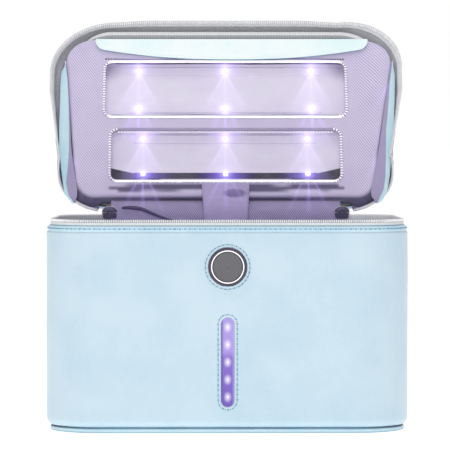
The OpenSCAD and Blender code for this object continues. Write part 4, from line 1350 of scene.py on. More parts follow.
    def build(self) -> list[Object]:
        """Makes the wall, its collar, the edge of its base and the rows of stitches."""
        wall = self.wall()
        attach(wall, "body")
        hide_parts("body_shell")
        pieces = [wall]
        collar = self.band("collar_leather", [(-1.05, 183.6), (-1.0, 186.0), (-1.2, 188.6), (-1.8, 189.8),
                                              (-4.9, 190.0), (-4.9, 183.6)], COLLAR_LEATHER)
        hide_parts("rim_collar")
        base = self.band("base_edge", [(-3.5, 3.7), (-3.1, 2.6), (-3.1, 1.2), (-3.5, 0.4), (-4.6, 0.05),
                                       (-12.0, 0.05), (-12.0, 3.7)], BASE_LEATHER)
        pieces += [collar, base]
        for made in pieces[1:]:
            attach(made, "body")
        ring = soft_ring(1.1, 2.0)
        flat = np.column_stack([np.cos(ring[:, 2]), np.sin(ring[:, 2]), np.zeros(len(ring))])
        path = at_height(ring[:, :2], WALL_TOP + 1.2) + flat * 0.1
        rows = len(pieces)
        pieces += stitched("collar", path, flat, self.stitch, True)
        turns = np.linspace(0, 2 * math.pi, 120, endpoint=False)
        circle = self.on_front(np.column_stack([BUTTON_STITCH_R * np.sin(turns),
                                                BUTTON_Z + BUTTON_STITCH_R * np.cos(turns)]))
        pieces += stitched("button", circle, np.tile(FRONT_OUT, (120, 1)), BUTTON_STITCH, True)
        wide = INDICATOR_W + 2 * WINDOW_STITCH_GAP
        loop = rounded(wide, INDICATOR_L + 5.6, wide / 2, 1.5)
        path = self.on_front(np.column_stack([loop[:, 0], loop[:, 1] + INDICATOR_Z]))
        pieces += stitched("window", path, np.tile(FRONT_OUT, (len(loop), 1)), WINDOW_STITCH, True)
        for made in pieces[rows:]:
            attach(made, "body")
        return pieces


@dataclass
class RimZip:
    """The zip tape that stands on the body's collar, and its coil.

    Attributes:
        pitch: Distance from one turn of the coil to the next in millimetres.
    """

    pitch: float = 1.7

    def build(self) -> list[Object]:
        """Makes the tape and the coil's turns."""
        ring = soft_ring(TAPE_INSET, 2.0)
        at_back = (ring[:, 1] > 0) & (np.abs(ring[:, 0]) < ZIP_GAP)
        first = int(np.where(at_back & ~np.roll(at_back, -1))[0][0]) + 1
        ring = np.roll(ring, -first, 0)[: int((~at_back).sum())]
        out = np.column_stack([np.cos(ring[:, 2]), np.sin(ring[:, 2])])
        run = path_lengths(ring[:, :2])
        wave = 0.12 * np.sin(run * 1.9)
        section = [(0.55, COLLAR_TOP - 0.3), (0.7, 190.6), (0.6, 191.6), (0.45, 193.0), (0.3, 195.2),
                   (-0.3, 195.2), (-0.45, 193.0), (-0.6, 191.4), (-0.55, COLLAR_TOP - 0.3)]
        rows = np.stack([at_height(ring[:, :2] + out * (o + wave)[:, None], z) for o, z in section], 1)
        uv = np.stack([at_height(run, z) * MM for _, z in section], 1)
        tape = outward(loft("rim_zip_tape", rows, TAPE, shell=True, uv=uv))
        # Painted shade behind the coil's turns.
        faced(tape, RIM_TAPE_TEETH_SHADE, lambda face: face.index % len(section) == 3)
        # Painted shade on the left half of the back tape's inner face; the right half keeps the plain tape.
        faced(tape, INNER_TAPE_SHADE, lambda face: face.index % len(section) in (4, 5, 6, 7)
              and face.center.x < 0)
        # Painted shade along the tape's foot, where it meets the collar.
        faced(tape, WELT_SHADE, lambda face: face.index % len(section) == 0)
        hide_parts("body_zip_tape")
        path = at_height(ring[:, :2] + out * 0.35, COIL_Z)
        flat = np.column_stack([out, np.zeros(len(ring))])
        coil = Run("rim_zip_coil", COIL, self.pitch, (1.15, 3.2, 1.9), 0.03).along(path, flat, False)
        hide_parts("body_zip_coil")
        for made in (tape, coil):
            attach(made, "body")
        return [tape, coil]


@dataclass
class Well:
    """The twill that lines the inside of the box."""

    step: float = 4.0

    @staticmethod
    def cut(wall: Object) -> None:
        """Opens the lining behind the button, where its stem and nut stand."""
        with edited(wall) as shape:
            gone = []
            for face in shape.faces:
                x, y, z = face.calc_center_median() / MM
                if y < 0 and math.hypot(x, z - BUTTON_Z) < NUT_ROOM_R:
                    gone.append(face)
            bmesh.ops.delete(shape, geom=gone, context="FACES")

    def build(self) -> list[Object]:
        """Makes the wall lining and the floor lining."""
        inset = WALL_T
        ring = rounded(BODY_W - 2 * inset, BODY_D - 2 * inset, CORNER_R - inset, self.step)
        run = path_lengths(ring[:, :2])
        levels = np.concatenate([[FLOOR_TOP], np.arange(12, WALL_TOP - 2, self.step), [WALL_TOP]])
        rows, maps = [], []
        for z in levels:
            points = at_height(ring[:, :2], z)
            hold = min(1.0, (WALL_TOP - z) / 14, (z - FLOOR_TOP) / 10)
            push = -0.35 * ripple(points, 38.0, 5.0) * hold
            rows.append(ring_at(ring, push, z))
            maps.append(at_height(run, z) * MM)
        wall = loft("wall_lining", np.stack(rows, 1), LINING_TWILL, ring=True, uv=np.stack(maps, 1))
        self.cut(wall)
        solid(wall, 0.7)
        applied(wall)
        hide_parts("body_lining")
        edge = rounded(BODY_W - 2 * inset + 1.2, BODY_D - 2 * inset + 1.2, CORNER_R - inset + 0.6,
                       self.step)
        flat, faces = Patch(edge, [], 6.0).mesh()
        gap = distance(flat, edge)
        z = FLOOR_TOP - 0.5 * np.exp(-gap / 3.0)
        points = np.column_stack([flat, z])
        points[:, 2] += 0.3 * ripple(points, 45.0, 6.0) * np.clip(gap / 12, 0, 1)
        floor = piece("floor_cloth", points, faces, LINING_TWILL, flat * MM)
        solid(floor, 0.7)
        applied(floor)
        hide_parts("floor_lining")
        for made in (wall, floor):
            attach(made, "body")
        return [wall, floor]


# The lid


@dataclass
class Places:
    """Places round the lid where its zip band is drawn.

    Attributes:
        step: Distance between places in millimetres.
    """

    step: float = 2.5
    flare_front: float = 7.5
    flare_side: float = 11.0
    flare_waist: float = -1.5
    flare_back: float = 8.5
    end_angle: float = 78.0

    def rows(self) -> np.ndarray:
        """Rows of corner centre x, y and outward angle in degrees, from back left round to back right."""
        cx, cy = BODY_W / 2 - CORNER_R, BODY_D / 2 - CORNER_R
        turns = math.ceil(math.radians(90) * CORNER_R / self.step)
        ends = math.ceil(math.radians(self.end_angle) * CORNER_R / self.step)
        side = math.ceil(2 * cy / self.step)
        front = math.ceil(2 * cx / self.step)
        rows = [(-cx, cy, 180 - self.end_angle * (1 - i / ends)) for i in range(ends + 1)]
        rows += [(-cx, cy - 2 * cy * i / side, 180.0) for i in range(1, side)]
        rows += [(-cx, -cy, 180 + 90 * i / turns) for i in range(turns + 1)]
        rows += [(-cx + 2 * cx * i / front, -cy, 270.0) for i in range(1, front)]
        rows += [(cx, -cy, 270 + 90 * i / turns) for i in range(turns + 1)]
        rows += [(cx, -cy + 2 * cy * i / side, 360.0) for i in range(1, side)]
        rows += [(cx, cy, 360 + self.end_angle * i / ends) for i in range(ends + 1)]
        return np.array(rows)

    def back_turn(self, rows: np.ndarray) -> np.ndarray:
        """How far a place is round a back corner, from 0 to 1."""
        cy = BODY_D / 2 - CORNER_R
        turn = np.where(rows[:, 2] >= 360, rows[:, 2] - 360, 180 - rows[:, 2]) / self.end_angle
        return np.where(rows[:, 1] < cy - 1e-6, 0.0, np.clip(turn, 0, 1))

    def flare(self, rows: np.ndarray) -> np.ndarray:
        """How far the band's coil stands out from the body's outline."""
        cy = BODY_D / 2 - CORNER_R
        back = self.back_turn(rows)
        angle = rows[:, 2]
        front = np.where((angle <= 180) | (angle >= 360), 0.0,
                         np.where(angle <= 270, (angle - 180) / 90, (360 - angle) / 90))
        run = np.clip((cy - rows[:, 1]) / (1.55 * cy), 0, 1)
        right = angle > 270
        side = np.where(right, self.flare_side, self.flare_side - 1.8)
        waist = np.where(right, self.flare_waist - 2.0, self.flare_waist)
        across = np.abs(rows[:, 0] + CORNER_R * np.cos(np.radians(angle)))
        bow = 2.4 * ease((across - 75) / 45) * ease(front / 0.9)
        ahead = (waist + (side - waist) * run + (self.flare_front - side) * ease(front)
                 + np.where(right, 4.5, -1.0) * np.sin(math.pi * front) - bow)
        behind = self.flare_waist + (self.flare_back - self.flare_waist) * ease(1.7 * back)
        return np.where(back > 0, behind, ahead)

    def sideways(self, rows: np.ndarray) -> np.ndarray:
        """Whether a place is at the front, 0, or at a side, 1."""
        angle = rows[:, 2]
        front = np.where(angle <= 270, (angle - 180) / 90, (360 - angle) / 90)
        return 1 - ease(np.clip(front, 0, 1) / 0.5)

    def coil_z(self, rows: np.ndarray) -> np.ndarray:
        """Height of the coil on the closed lid."""
        return LID_COIL_Z + (LID_COIL_END_Z - LID_COIL_Z) * ease(self.back_turn(rows))

    def at(self, rows: np.ndarray, out: np.ndarray, z: np.ndarray) -> np.ndarray:
        """Points of the open lid at a distance out from the outline and a height."""
        a = np.radians(rows[:, 2])
        return opened(np.column_stack([rows[:, 0] + (CORNER_R + out) * np.cos(a),
                                       rows[:, 1] + (CORNER_R + out) * np.sin(a), z]))


def shaped_line(line: list[tuple[float, float]], thick: float) -> list[tuple[float, float, float]]:
    """A closed section round a line, as distance along, distance in and side."""
    there = [(t, d, 0.5 * thick) for t, d in line]
    back = [(t, d, -0.5 * thick) for t, d in reversed(line)]
    return there + back


@dataclass
class ZipBand:
    """The soft band that flares from the lid's edge to its coil.

    Attributes:
        pitch: Distance from one turn of the coil to the next in millimetres.
    """

    pitch: float = 2.0

    def strip(self, name: str, line: list[tuple[float, float]], thick: float, finish: Finish,
              wave: float) -> Object:
        """A closed strip that follows the band.

        Args:
            name: The piece's name.
            line: Share of the way from coil to root, and distance in towards the panel, along its middle.
            thick: Its thickness in millimetres.
            finish: What it is made of.
            wave: How far it waves in and out in millimetres.

        Returns:
            The strip.
        """
        places = Places()
        rows = places.rows()
        coil = np.column_stack([places.flare(rows), places.coil_z(rows)])
        root = np.tile([-LID_INSET - 0.2, BAND_Z + 0.4], (len(rows), 1))
        along = root - coil
        length = np.linalg.norm(along, axis=1)[:, None]
        along = along / length
        inwards = np.column_stack([-along[:, 1], along[:, 0]])
        mid = places.at(rows, coil[:, 0], coil[:, 1])
        run = path_lengths(mid)
        ripples = wave * (np.sin(run * 0.55) * 0.6 + np.sin(run * 0.23 + 1.0))
        points, maps, across = [], [], []
        for t, d, half in shaped_line(line, thick):
            far = length * t
            shape = np.sin(np.pi * np.clip(t, 0, 1))
            place = coil + along * far + inwards * (d + half + ripples[:, None] * shape)
            points.append(places.at(rows, place[:, 0], place[:, 1]))
            maps.append(np.column_stack([run, far[:, 0]]) * MM)
            across.append(np.full(len(rows), t))
        made = loft(name, np.stack(points, 1), finish, shell=True, uv=np.stack(maps, 1))
        # The across, side and corner values place the band's painted stripes of fold shade and light.
        marked(made, "across", np.stack(across, 1).ravel())
        marked(made, "side", np.repeat(places.sideways(rows), len(points)))
        marked(made, "corner", np.repeat(ease(places.back_turn(rows) / 0.25), len(points)))
        return outward(made)

    def build(self) -> list[Object]:
        """Makes the band, the tape on it and the coil's turns."""
        fall = [(0.02, -0.2), (0.12, -0.4), (0.22, -0.7), (0.27, -1.2), (0.32, -1.1), (0.42, -1.4),
                (0.56, -1.6), (0.7, -1.3), (0.85, -0.8), (1.0, 0.0)]
        band = self.strip("lid_band", fall, 1.1, BAND, 0.25)
        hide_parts("lid_zip_tape")
        line = [(-0.03, 0.5), (0.1, 0.5), (0.19, 0.55), (0.24, 0.6), (0.3, 0.45), (0.32, 0.1)]
        tape = self.strip("lid_tape", line, 0.7, TAPE, 0.1)
        places = Places()
        rows = places.rows()
        ahead = np.repeat((places.sideways(rows) < 0.5)[:-1], 2 * len(line))
        faced(tape, UNDER_TAPE, lambda face: face.index < len(ahead) and ahead[face.index]
              and face.index % (2 * len(line)) in (0, 1))
        coil = np.column_stack([places.flare(rows), places.coil_z(rows)])
        along = np.array([-LID_INSET - 0.2, BAND_Z + 0.4]) - coil
        along /= np.linalg.norm(along, axis=1)[:, None]
        inwards = np.column_stack([-along[:, 1], along[:, 0]])
        seat = coil + along * 1.5 + inwards * (0.95 - 1.2 * places.sideways(rows)[:, None])
        path = places.at(rows, seat[:, 0], seat[:, 1])
        out = places.at(rows, seat[:, 0] + inwards[:, 0], seat[:, 1] + inwards[:, 1]) - path
        turns = Run("lid_zip_turns", COIL, self.pitch, (1.55, 4.3, 1.5), 0.03).along(path, out, False)
        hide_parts("lid_zip_coil")
        for made, slot in ((band, "zip_tape"), (tape, "zip_tape"), (turns, "zip_coil")):
            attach(made, "lid")
        return [band, tape, turns]


@dataclass
class LidLeather:
    """The leather of the lid's outer face, padded and turned over its edge."""

    step: float = 5.0

    def build(self) -> list[Object]:
        """Makes the leather cap and the row of stitches round it."""
        edge = rounded(BODY_W - 2 * LID_INSET, BODY_D - 2 * LID_INSET, CORNER_R - LID_INSET, 3.0)
        angle = edge[:, 2]
        top = LID_TOP
        profile = [(-LEATHER_T, BAND_Z + 0.2), (-0.6, BAND_Z), (0.0, BAND_Z + 0.6)]
        profile += arc(-LID_EDGE_R, top - LID_EDGE_R, LID_EDGE_R, 0, 90, 7)
        rows = []
        for out, z in profile:
            rows.append(np.column_stack([edge[:, 0] + out * np.cos(angle), edge[:, 1] + out * np.sin(angle),
                                         np.full(len(edge), z)]))
        inner = rows[-1][:, :2]
        flat, faces = Patch(inner, [], self.step).mesh()
        gap = distance(flat, inner)
        points = at_height(flat, top)
        hold = np.clip(gap / 20, 0, 1)
        points[:, 2] += 0.9 * ease(gap / 60) - 0.5 * bump_at(gap, 3.0, 1.6) * np.clip(gap, 0, 1)
        points[:, 2] += 0.4 * ripple(points, 60.0, 9.0) * hold
        base = np.stack(rows, 1)
        n, m = base.shape[:2]
        merged = np.vstack([base.reshape(-1, 3), points])
        quads = [(i * m + k, ((i + 1) % n) * m + k, ((i + 1) % n) * m + k + 1, i * m + k + 1)
                 for i in range(n) for k in range(m - 1)]
        quads += [tuple(c + n * m for c in f) for f in faces]
        cap = piece("lid_leather", opened(merged), quads, LEATHER)
        with edited(cap) as shape:
            bmesh.ops.remove_doubles(shape, verts=shape.verts, dist=2e-5)
            bmesh.ops.recalc_face_normals(shape, faces=shape.faces)
        solid(cap, 1.0)
        applied(cap)
        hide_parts("lid_cover")
        row = rounded(BODY_W - 2 * LID_INSET - 14, BODY_D - 2 * LID_INSET - 14, CORNER_R - LID_INSET - 7,
                      2.0)
        path = opened(at_height(row[:, :2], top - 0.2))
        up = opened(at_height(row[:, :2], top + 0.8)) - path
        pieces = [cap, *stitched("lid_edge", path, up, 4.6, True)]
        for made in pieces:
            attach(made, "lid")
        return pieces


def panel_outline(out: float, steps: int = 14) -> np.ndarray:
    """The light panel's outline in plan, with its back narrower than its front."""
    run_x = PANEL_BACK_W - PANEL_BACK_R - PANEL_FRONT_W + PANEL_FRONT_R
    run_y = PANEL_BACK_Y - PANEL_BACK_R - PANEL_FRONT_Y - PANEL_FRONT_R
    side = math.degrees(math.atan2(run_y, run_x)
                        - math.acos((PANEL_FRONT_R - PANEL_BACK_R) / math.hypot(run_x, run_y)))
    corners = [(PANEL_BACK_W - PANEL_BACK_R, PANEL_BACK_Y - PANEL_BACK_R, PANEL_BACK_R, side, 90.0),
               (PANEL_BACK_R - PANEL_BACK_W, PANEL_BACK_Y - PANEL_BACK_R, PANEL_BACK_R, 90.0, 180 - side),
               (PANEL_FRONT_R - PANEL_FRONT_W, PANEL_FRONT_Y + PANEL_FRONT_R, PANEL_FRONT_R, 180 - side,
                270.0), (PANEL_FRONT_W - PANEL_FRONT_R, PANEL_FRONT_Y + PANEL_FRONT_R, PANEL_FRONT_R,
                         270.0, 360 + side)]
    coarse: list[tuple[float, float]] = []
    for cx, cy, r, a, b in corners:
        coarse += arc(cx, cy, r + out, a, b, steps)
    points: list[tuple[float, float]] = []
    for i, p in enumerate(coarse):
        q = coarse[(i + 1) % len(coarse)]
        cuts = max(1, math.ceil(math.dist(p, q) / 5.0))
        points += [(p[0] + (q[0] - p[0]) * k / cuts, p[1] + (q[1] - p[1]) * k / cuts) for k in range(cuts)]
    return np.array(points)


@dataclass
class LightPanel:
    """The panel in the lid: twill with two windows, their beads, films, trays and lamps."""

    step: float = 3.6

    def cloth(self) -> Object:
        """The twill face with its wrinkles, turned over the panel's edge."""
        flat_edge = panel_outline(-3.2)
        holes = [rounded(w.width - 2 * BEAD_W + 1.4, w.depth - 2 * BEAD_W + 1.4, WINDOW_R - BEAD_W + 0.7,
                         3.0, (0.0, w.y)) for w in (UPPER_WINDOW, LOWER_WINDOW)]
        flat, faces = Patch(flat_edge, holes, self.step).mesh()
        count = len(flat_edge)
        edge_gap = distance(flat, flat_edge)
        near = np.minimum(*[distance(flat, h) for h in holes])
        raised = 0.5 * bump_at(near, 3.0, 2.6)
        plan = np.column_stack([flat, np.zeros(len(flat))])
        slow = 0.3 * ripple(plan, 26.0, 12.0) * ease(edge_gap / 8)
        fold, ridge = self.valley(flat)
        lift = np.maximum(raised + slow * (1 - fold) + ridge - 0.5 * fold, -0.2)
        points = np.column_stack([self.filled(flat), PANEL_Z - lift])
        turns = [(-3.2, 0.0), (-1.4, 0.5), (-0.3, 1.7), (0.0, 3.4), (0.0, 8.0), (-0.2, 12.6),
                 (-0.4, 14.6), (-0.8, 16.5)]
        skirts = []
        flare_out = 7.0 * self.back_corner(flat_edge)
        for out, drop in turns[1:]:
            ring = panel_outline(out)
            away = ring - panel_outline(out - 1.0)
            ring = ring + away * (flare_out * ease((drop - 1.0) / 11.0))[:, None]
            ring = self.filled(ring, 1 - drop / 16.5)
            skirts.append(at_height(ring, PANEL_Z + drop))
        total = np.vstack([points, *skirts])
        more: list[tuple[int, ...]] = []
        starts = [None] + [len(points) + count * k for k in range(len(skirts))]
        order = self.edge_order(flat, flat_edge)
        for k in range(len(skirts)):
            for i in range(count):
                j = (i + 1) % count
                upper = (order[i], order[j]) if k == 0 else (starts[k] + i, starts[k] + j)
                more.append((upper[0], upper[1], starts[k + 1] + j, starts[k + 1] + i))
        uv = np.vstack([flat, *[panel_outline(out + drop) for out, drop in turns[1:]]]) * MM
        made = piece("panel_cloth", opened(total), [*faces, *more], PANEL_TWILL, uv)
        # Painted shade through the "fold" value: in the valley behind the lower window, and on the skirt's
        # back side and back corners.
        shaded = np.maximum(self.back_corner(flat_edge) * 0.75, 0.9 * ease((flat_edge[:, 1] - 84) / 6))
        marked(made, "fold", np.concatenate([0.95 * fold, *[shaded * ease((drop - 0.6) / 2.6)
                                                            for _, drop in turns[1:]]]))
        with edited(made) as shape:
            bmesh.ops.recalc_face_normals(shape, faces=shape.faces)
            shape.faces.ensure_lookup_table()
            face = min(shape.faces, key=lambda f: (f.calc_center_median() - Vector((0, 0.13, 0.26))).length)
            if face.normal.y > 0:
                bmesh.ops.reverse_faces(shape, faces=shape.faces)
        solid(made, 0.7)
        return applied(made)

    @staticmethod
    def filled(plan: np.ndarray, share: float = 1.0) -> np.ndarray:
        """Places in plan, with the cloth drawn out towards the right flap, where it is fuller."""
        out = 8.0 * share * ease((plan[:, 0] - 127) / 26) * np.clip((45 - plan[:, 1]) / 97, 0, 1)
        return np.column_stack([plan[:, 0] + out, plan[:, 1]])

    @staticmethod
    def valley(flat: np.ndarray) -> tuple[np.ndarray, np.ndarray]:
        """The long fold behind the lower window, and the ridges beside it.

        Args:
            flat: Places in plan as rows of x and y.

        Returns:
            How deep in the fold each place is, from 0 to 1, which also sets its painted shade, and how high
            it is on a ridge in millimetres.
        """
        x, y = flat[:, 0], flat[:, 1]
        middle = 85.4 + 0.7 * np.sin(x / 21.0) + 0.4 * np.sin(x / 8.3 + 1.0)
        half = (3.6 + 0.5 * np.sin(x / 13.0) + 1.3 * bump_at(np.abs(x), 98.0, 12.0)) * np.sqrt(
            np.clip(1 - (np.abs(x) / 116) ** 6, 0, 1))
        off = np.abs(y - middle) / np.maximum(half, 0.05)
        fold = ease((1.15 - off) / 0.3) * (np.abs(x) < 116)
        wide = ease((122 - np.abs(x)) / 12)
        ridge = (0.6 * bump_at(y, 80.9, 0.6) + 0.8 * bump_at(y, 91.3, 0.7)
                 + 0.35 * bump_at(y, 87.6 + 0.5 * np.sin(x / 11), 0.5)) * wide
        return fold, ridge

    @staticmethod
    def back_corner(ring: np.ndarray) -> np.ndarray:
        """How near a place on the panel's outline is to one of its back corners."""
        cx, cy = PANEL_BACK_W - PANEL_BACK_R, PANEL_BACK_Y - PANEL_BACK_R
        past = np.minimum((np.abs(ring[:, 0]) - cx) / 10 + 0.5, (ring[:, 1] - cy) / 10 + 0.5)
        return ease(past)

    @staticmethod
    def edge_order(flat: np.ndarray, edge: np.ndarray) -> list[int]:
        """The number of the mesh point at each point of the outline."""
        return [int(((flat - p) ** 2).sum(1).argmin()) for p in edge]

    def bead(self, window: Window, name: str, dark_front: bool) -> list[Object]:
        """The bead that is sewn round a window.

        Args:
            window: The window.
            name: Start of the pieces' names.
            dark_front: Whether the side towards the lid's front is drawn as a dark seam, partly thread and
                partly painted shadow.

        Returns:
            Ribs on the sides and round the corners, and what shows along the front and the back.
        """
        ring = rounded(window.width - BEAD_W, window.depth - BEAD_W, WINDOW_R - BEAD_W / 2, 1.0,
                       (0.0, window.y))
        turned = np.degrees(ring[:, 2])
        front, back = np.abs(turned - 270) < 20, np.abs(turned - 90) < 20
        made: list[Object] = []
        for label, chosen in (("left_ribs", (turned > 100) & (turned < 260)),
                              ("right_ribs", (turned < 80) | (turned > 280))):
            picked = np.roll(chosen, len(ring) // 2) if label == "right_ribs" else chosen
            rows = np.roll(ring, len(ring) // 2, 0)[picked] if label == "right_ribs" else ring[chosen]
            made.append(self.along(f"{name}_{label}", BEAD_PAINTED_GLOW, rows[:, :2], 2.9, (1.9, BEAD_W + 0.2, 2.6),
                                   0.6))
        for label, chosen in (("front", front), ("back", back)):
            dark = dark_front and label == "front"
            finish, size = (SEAM, (2.2, 2.4, 1.9)) if dark else (BEAD_PAINTED_GLOW, (2.6, 3.3, 2.7))
            made.append(self.along(f"{name}_{label}", finish, ring[chosen][:, :2], 1.0, size, 0.6))
        return made

    @staticmethod
    def along(name: str, finish: Finish, path: np.ndarray, pitch: float, size: tuple[float, float, float],
              rise: float = 0.35) -> Object:
        """Rounded forms along a path on the panel's face."""
        seat = opened(at_height(path, PANEL_Z - rise))
        out = opened(at_height(path, PANEL_Z - rise - 1.0)) - seat
        return Run(name, finish, pitch, size, 0.05).along(seat, out, False)

    def seams(self) -> list[Object]:
        """The dark rows beside the beads, partly thread and partly painted shadow, and the row of glowing
        dots in the lower window, which is painted light.
        """
        upper, lower = UPPER_WINDOW, LOWER_WINDOW
        front, back = upper.y - upper.depth / 2, upper.y + upper.depth / 2
        rows = [("seam_front", -119.0, 119.0, front - 1.8, 2.6, 2.0),
                ("seam_front_inner", -108.0, 116.0, front + BEAD_W + 0.6, 1.0, 1.1),
                ("seam_back_inner", -112.0, 112.0, back - BEAD_W - 0.7, 2.2, 1.1)]
        made = []
        for name, start, end, y, pitch, wide in rows:
            xs = np.arange(start, end, 1.0)
            sway = 0.35 * np.sin(xs / 17.0)
            made.append(self.along(name, SEAM, np.column_stack([xs, y + sway]), pitch, (1.9, wide, 1.0),
                                   0.3))
        xs = np.arange(-105.0, 106.0, 1.0)
        y = lower.y - lower.depth / 2 + BEAD_W + 1.6
        made.append(self.along("lower_dots", BEAD_PAINTED_GLOW, at_height(xs, y), 2.9, (1.9, 1.9, 1.2), 0.1))
        return made

    def build(self) -> list[Object]:
        """Makes the cloth, both beads and their seams."""
        cloth = self.cloth()
        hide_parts("panel_lining")
        trims = [*self.bead(UPPER_WINDOW, "upper_bead", False),
                 *self.bead(LOWER_WINDOW, "lower_bead", True), *self.seams()]
        for made in (cloth, *trims):
            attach(made, "lid")
        return [cloth, *trims]


SIDE_LINES = {-1: [[(-159.4, -58.1), (-163.2, -49.7), (-163.8, -34.1), (-163.7, -16.2), (-164.1, 13.3),
                    (-163.5, 42.6), (-161.4, 60.7), (-159.2, 78.1), (-156.8, 93.3), (-149.0, 104.0)],
                   [(-159.4, -58.1), (-157.1, -40.1), (-155.6, -16.2), (-154.5, 13.3), (-153.8, 42.6),
                    (-154.4, 60.7), (-156.0, 80.3), (-153.2, 96.0), (-148.0, 104.0)],
                   [(-159.1, -62.0), (-154.6, -4.4), (-151.6, 42.6), (-146.8, 77.4), (-145.0, 86.6),
                    (-145.0, 96.0), (-147.4, 104.0)]],
              1: [[(167.6, -60.6), (169.2, -46.1), (168.0, -16.3), (166.3, 13.3), (163.4, 42.6),
                   (160.6, 71.7), (157.6, 89.0), (153.3, 99.0), (148.0, 104.0)],
                  [(167.4, -60.6), (163.8, -34.1), (162.3, -16.3), (160.1, 7.4), (158.7, 19.2),
                   (157.8, 42.6), (156.6, 71.7), (154.2, 89.0), (147.6, 104.0)],
                  [(166.2, -58.0), (165.0, -50.0), (157.6, -4.4), (152.6, 30.9), (147.8, 60.1),
                   (142.8, 83.2), (141.6, 94.7), (146.8, 104.0)]]}


@dataclass
class Flaps:
    """The three leather flaps round the light panel, and the gathered hem at the front one's root.

    Attributes:
        width: Length of the front flap.
        depth: Depth of the front flap in the middle.
        bow: How much shallower it is near its ends.
        shift: How far it sits right of the middle.
    """

    width: float = 272.6
    depth: float = 25.6
    bow: float = 10.5
    shift: float = 6.7

    def front(self) -> Object:
        """The front flap, with its free edge curled a little off the panel."""
        root = PANEL_FRONT_Y + 1.2
        half = self.width / 2
        xs = np.concatenate([[-half, -half + 0.6, -half + 1.6], np.arange(-half + 4, half - 3.9, 4.0),
                             [half - 1.6, half - 0.6, half]])
        bow_x = half - 14
        bow_r = (bow_x ** 2 + self.bow ** 2) / (2 * self.bow)
        deep = self.depth - bow_r + np.sqrt(np.maximum(bow_r ** 2 - xs ** 2, 0))
        ends = np.clip((half - np.abs(xs)) / 7.0, 0, 1)
        deep = 2.0 + (deep - 2.0) * np.sqrt(1 - (1 - ends) ** 2)
        shares = np.array([0, 0.04, 0.12, 0.25, 0.4, 0.55, 0.7, 0.82, 0.91, 0.97, 1.0])
        rows = []
        for t in shares:
            y = root + deep * t
            curl = 1.6 * ease((t - 0.35) / 0.65) * (0.7 + 0.3 * np.cos(xs / 23.0))
            round_edge = 0.35 * (ease((t - 0.9) / 0.1))
            root_roll = -0.5 * (1 - ease(t / 0.12))
            rows.append(np.column_stack([xs + self.shift, y,
                                         PANEL_Z - 1.2 - curl + round_edge - root_roll]))
        return self.edged(loft("front_flap_leather", opened(np.stack(rows, 1)), FLAP_LEATHER), EDGE_LEATHER)

    def side(self, sign: int, name: str) -> list[Object]:
        """A side flap.

        Args:
            sign: -1 for the left one, 1 for the right one.
            name: Start of the pieces' names.

        Returns:
            Its leather, and the twill lining that turns to view along the panel.
        """
        at = np.concatenate([np.linspace(-62, -54, 8), np.arange(-51, 95, 3.0), np.linspace(96, 104, 7)])
        far, fold, near = (np.interp(at, [y for _, y in line], [abs(x) for x, _ in line])
                           for line in SIDE_LINES[sign])
        wave = 0.35 * np.sin(at / 9.0 + sign) + 0.25 * np.sin(at / 23.0)
        low = PANEL_Z + 0.6
        leather, lining = [], []
        for u in np.linspace(0, 1, 6):
            x = fold + (far - fold) * u
            leather.append(np.column_stack([sign * x, at, low - 2.4 + 2.0 * u ** 2 + wave * (1 - u)]))
            x = near + (fold - near) * u
            lining.append(np.column_stack([sign * x, at, low - 1.1 - 1.3 * u + wave * u]))
        skin = loft(f"{name}_leather", opened(np.stack(leather, 1)), SIDE_LEATHER)
        rows = np.stack(lining, 1)
        cloth = loft(f"{name}_lining", opened(rows), FLAP_TWILL, uv=rows[..., :2] * MM)
        return [self.edged(skin, FOLD_LEATHER), self.edged(cloth, FLAP_TWILL)]

    @staticmethod
    def edged(made: Object, edge: Finish) -> Object:
        """Gives a flap its thickness with rounded edges, which may have a finish of their own."""
        made.data.materials.append(edge.material())
        solid(made, 1.2, 0.0).modifiers["thickness"].material_offset_rim = 1
        soft = made.modifiers.new("soft", "BEVEL")
        soft.width, soft.segments, soft.limit_method = 0.35 * MM, 2, "ANGLE"
        return applied(made)

    def hem(self) -> Object:
        """The gathered tape that joins the front flap to the band."""
        ring = rounded(BODY_W - 13.8, BODY_D - 13.8, CORNER_R - 6.9, 0.7)
        ring = ring[(ring[:, 1] < -66) & (ring[:, 0] > -139) & (ring[:, 0] < 150)]
        run = path_lengths(ring[:, :2])
        ends = np.sqrt(np.clip(np.minimum(run, run[-1] - run) / 22, 0.03, 1))
        out = np.column_stack([np.cos(ring[:, 2]), np.sin(ring[:, 2])])
        rows = []
        turns = np.linspace(0, 2 * math.pi, 14, endpoint=False)
        pleat = 0.35 * np.sin(run * 1.9 + 0.9 * np.sin(run * 0.21)) + 0.15 * np.sin(run * 3.3 + 1.2)
        for t in turns:
            place = ring[:, :2] - out * ((4.3 + 0.4 * pleat) * ends * math.cos(t))[:, None]
            rows.append(np.column_stack([place, 203.4 + (2.3 + pleat * 0.6) * ends * math.sin(t)]))
        uv = np.stack([at_height(run, t * 3) * MM for t in turns], 1)
        made = outward(loft("gathered_hem", opened(np.stack(rows, 1)), GATHER, shell=True, uv=uv))
        return faced(made, GATHER_SHADE, lambda face: face.index % len(turns) in (11, 12, 13, 0, 1))

    def build(self) -> list[Object]:
        """Makes the flaps and the hem."""
        front = self.front()
        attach(front, "front_flap")
        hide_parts("front_flap")
        pieces = [front]
        for sign, body in ((-1, "left_flap"), (1, "right_flap")):
            skin, cloth = self.side(sign, body)
            for made, slot in ((skin, "flap_leather"), (cloth, "lining")):
                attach(made, body)
                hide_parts(body)
                pieces.append(made)
        hem = self.hem()
        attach(hem, "lid")
        return [*pieces, hem]


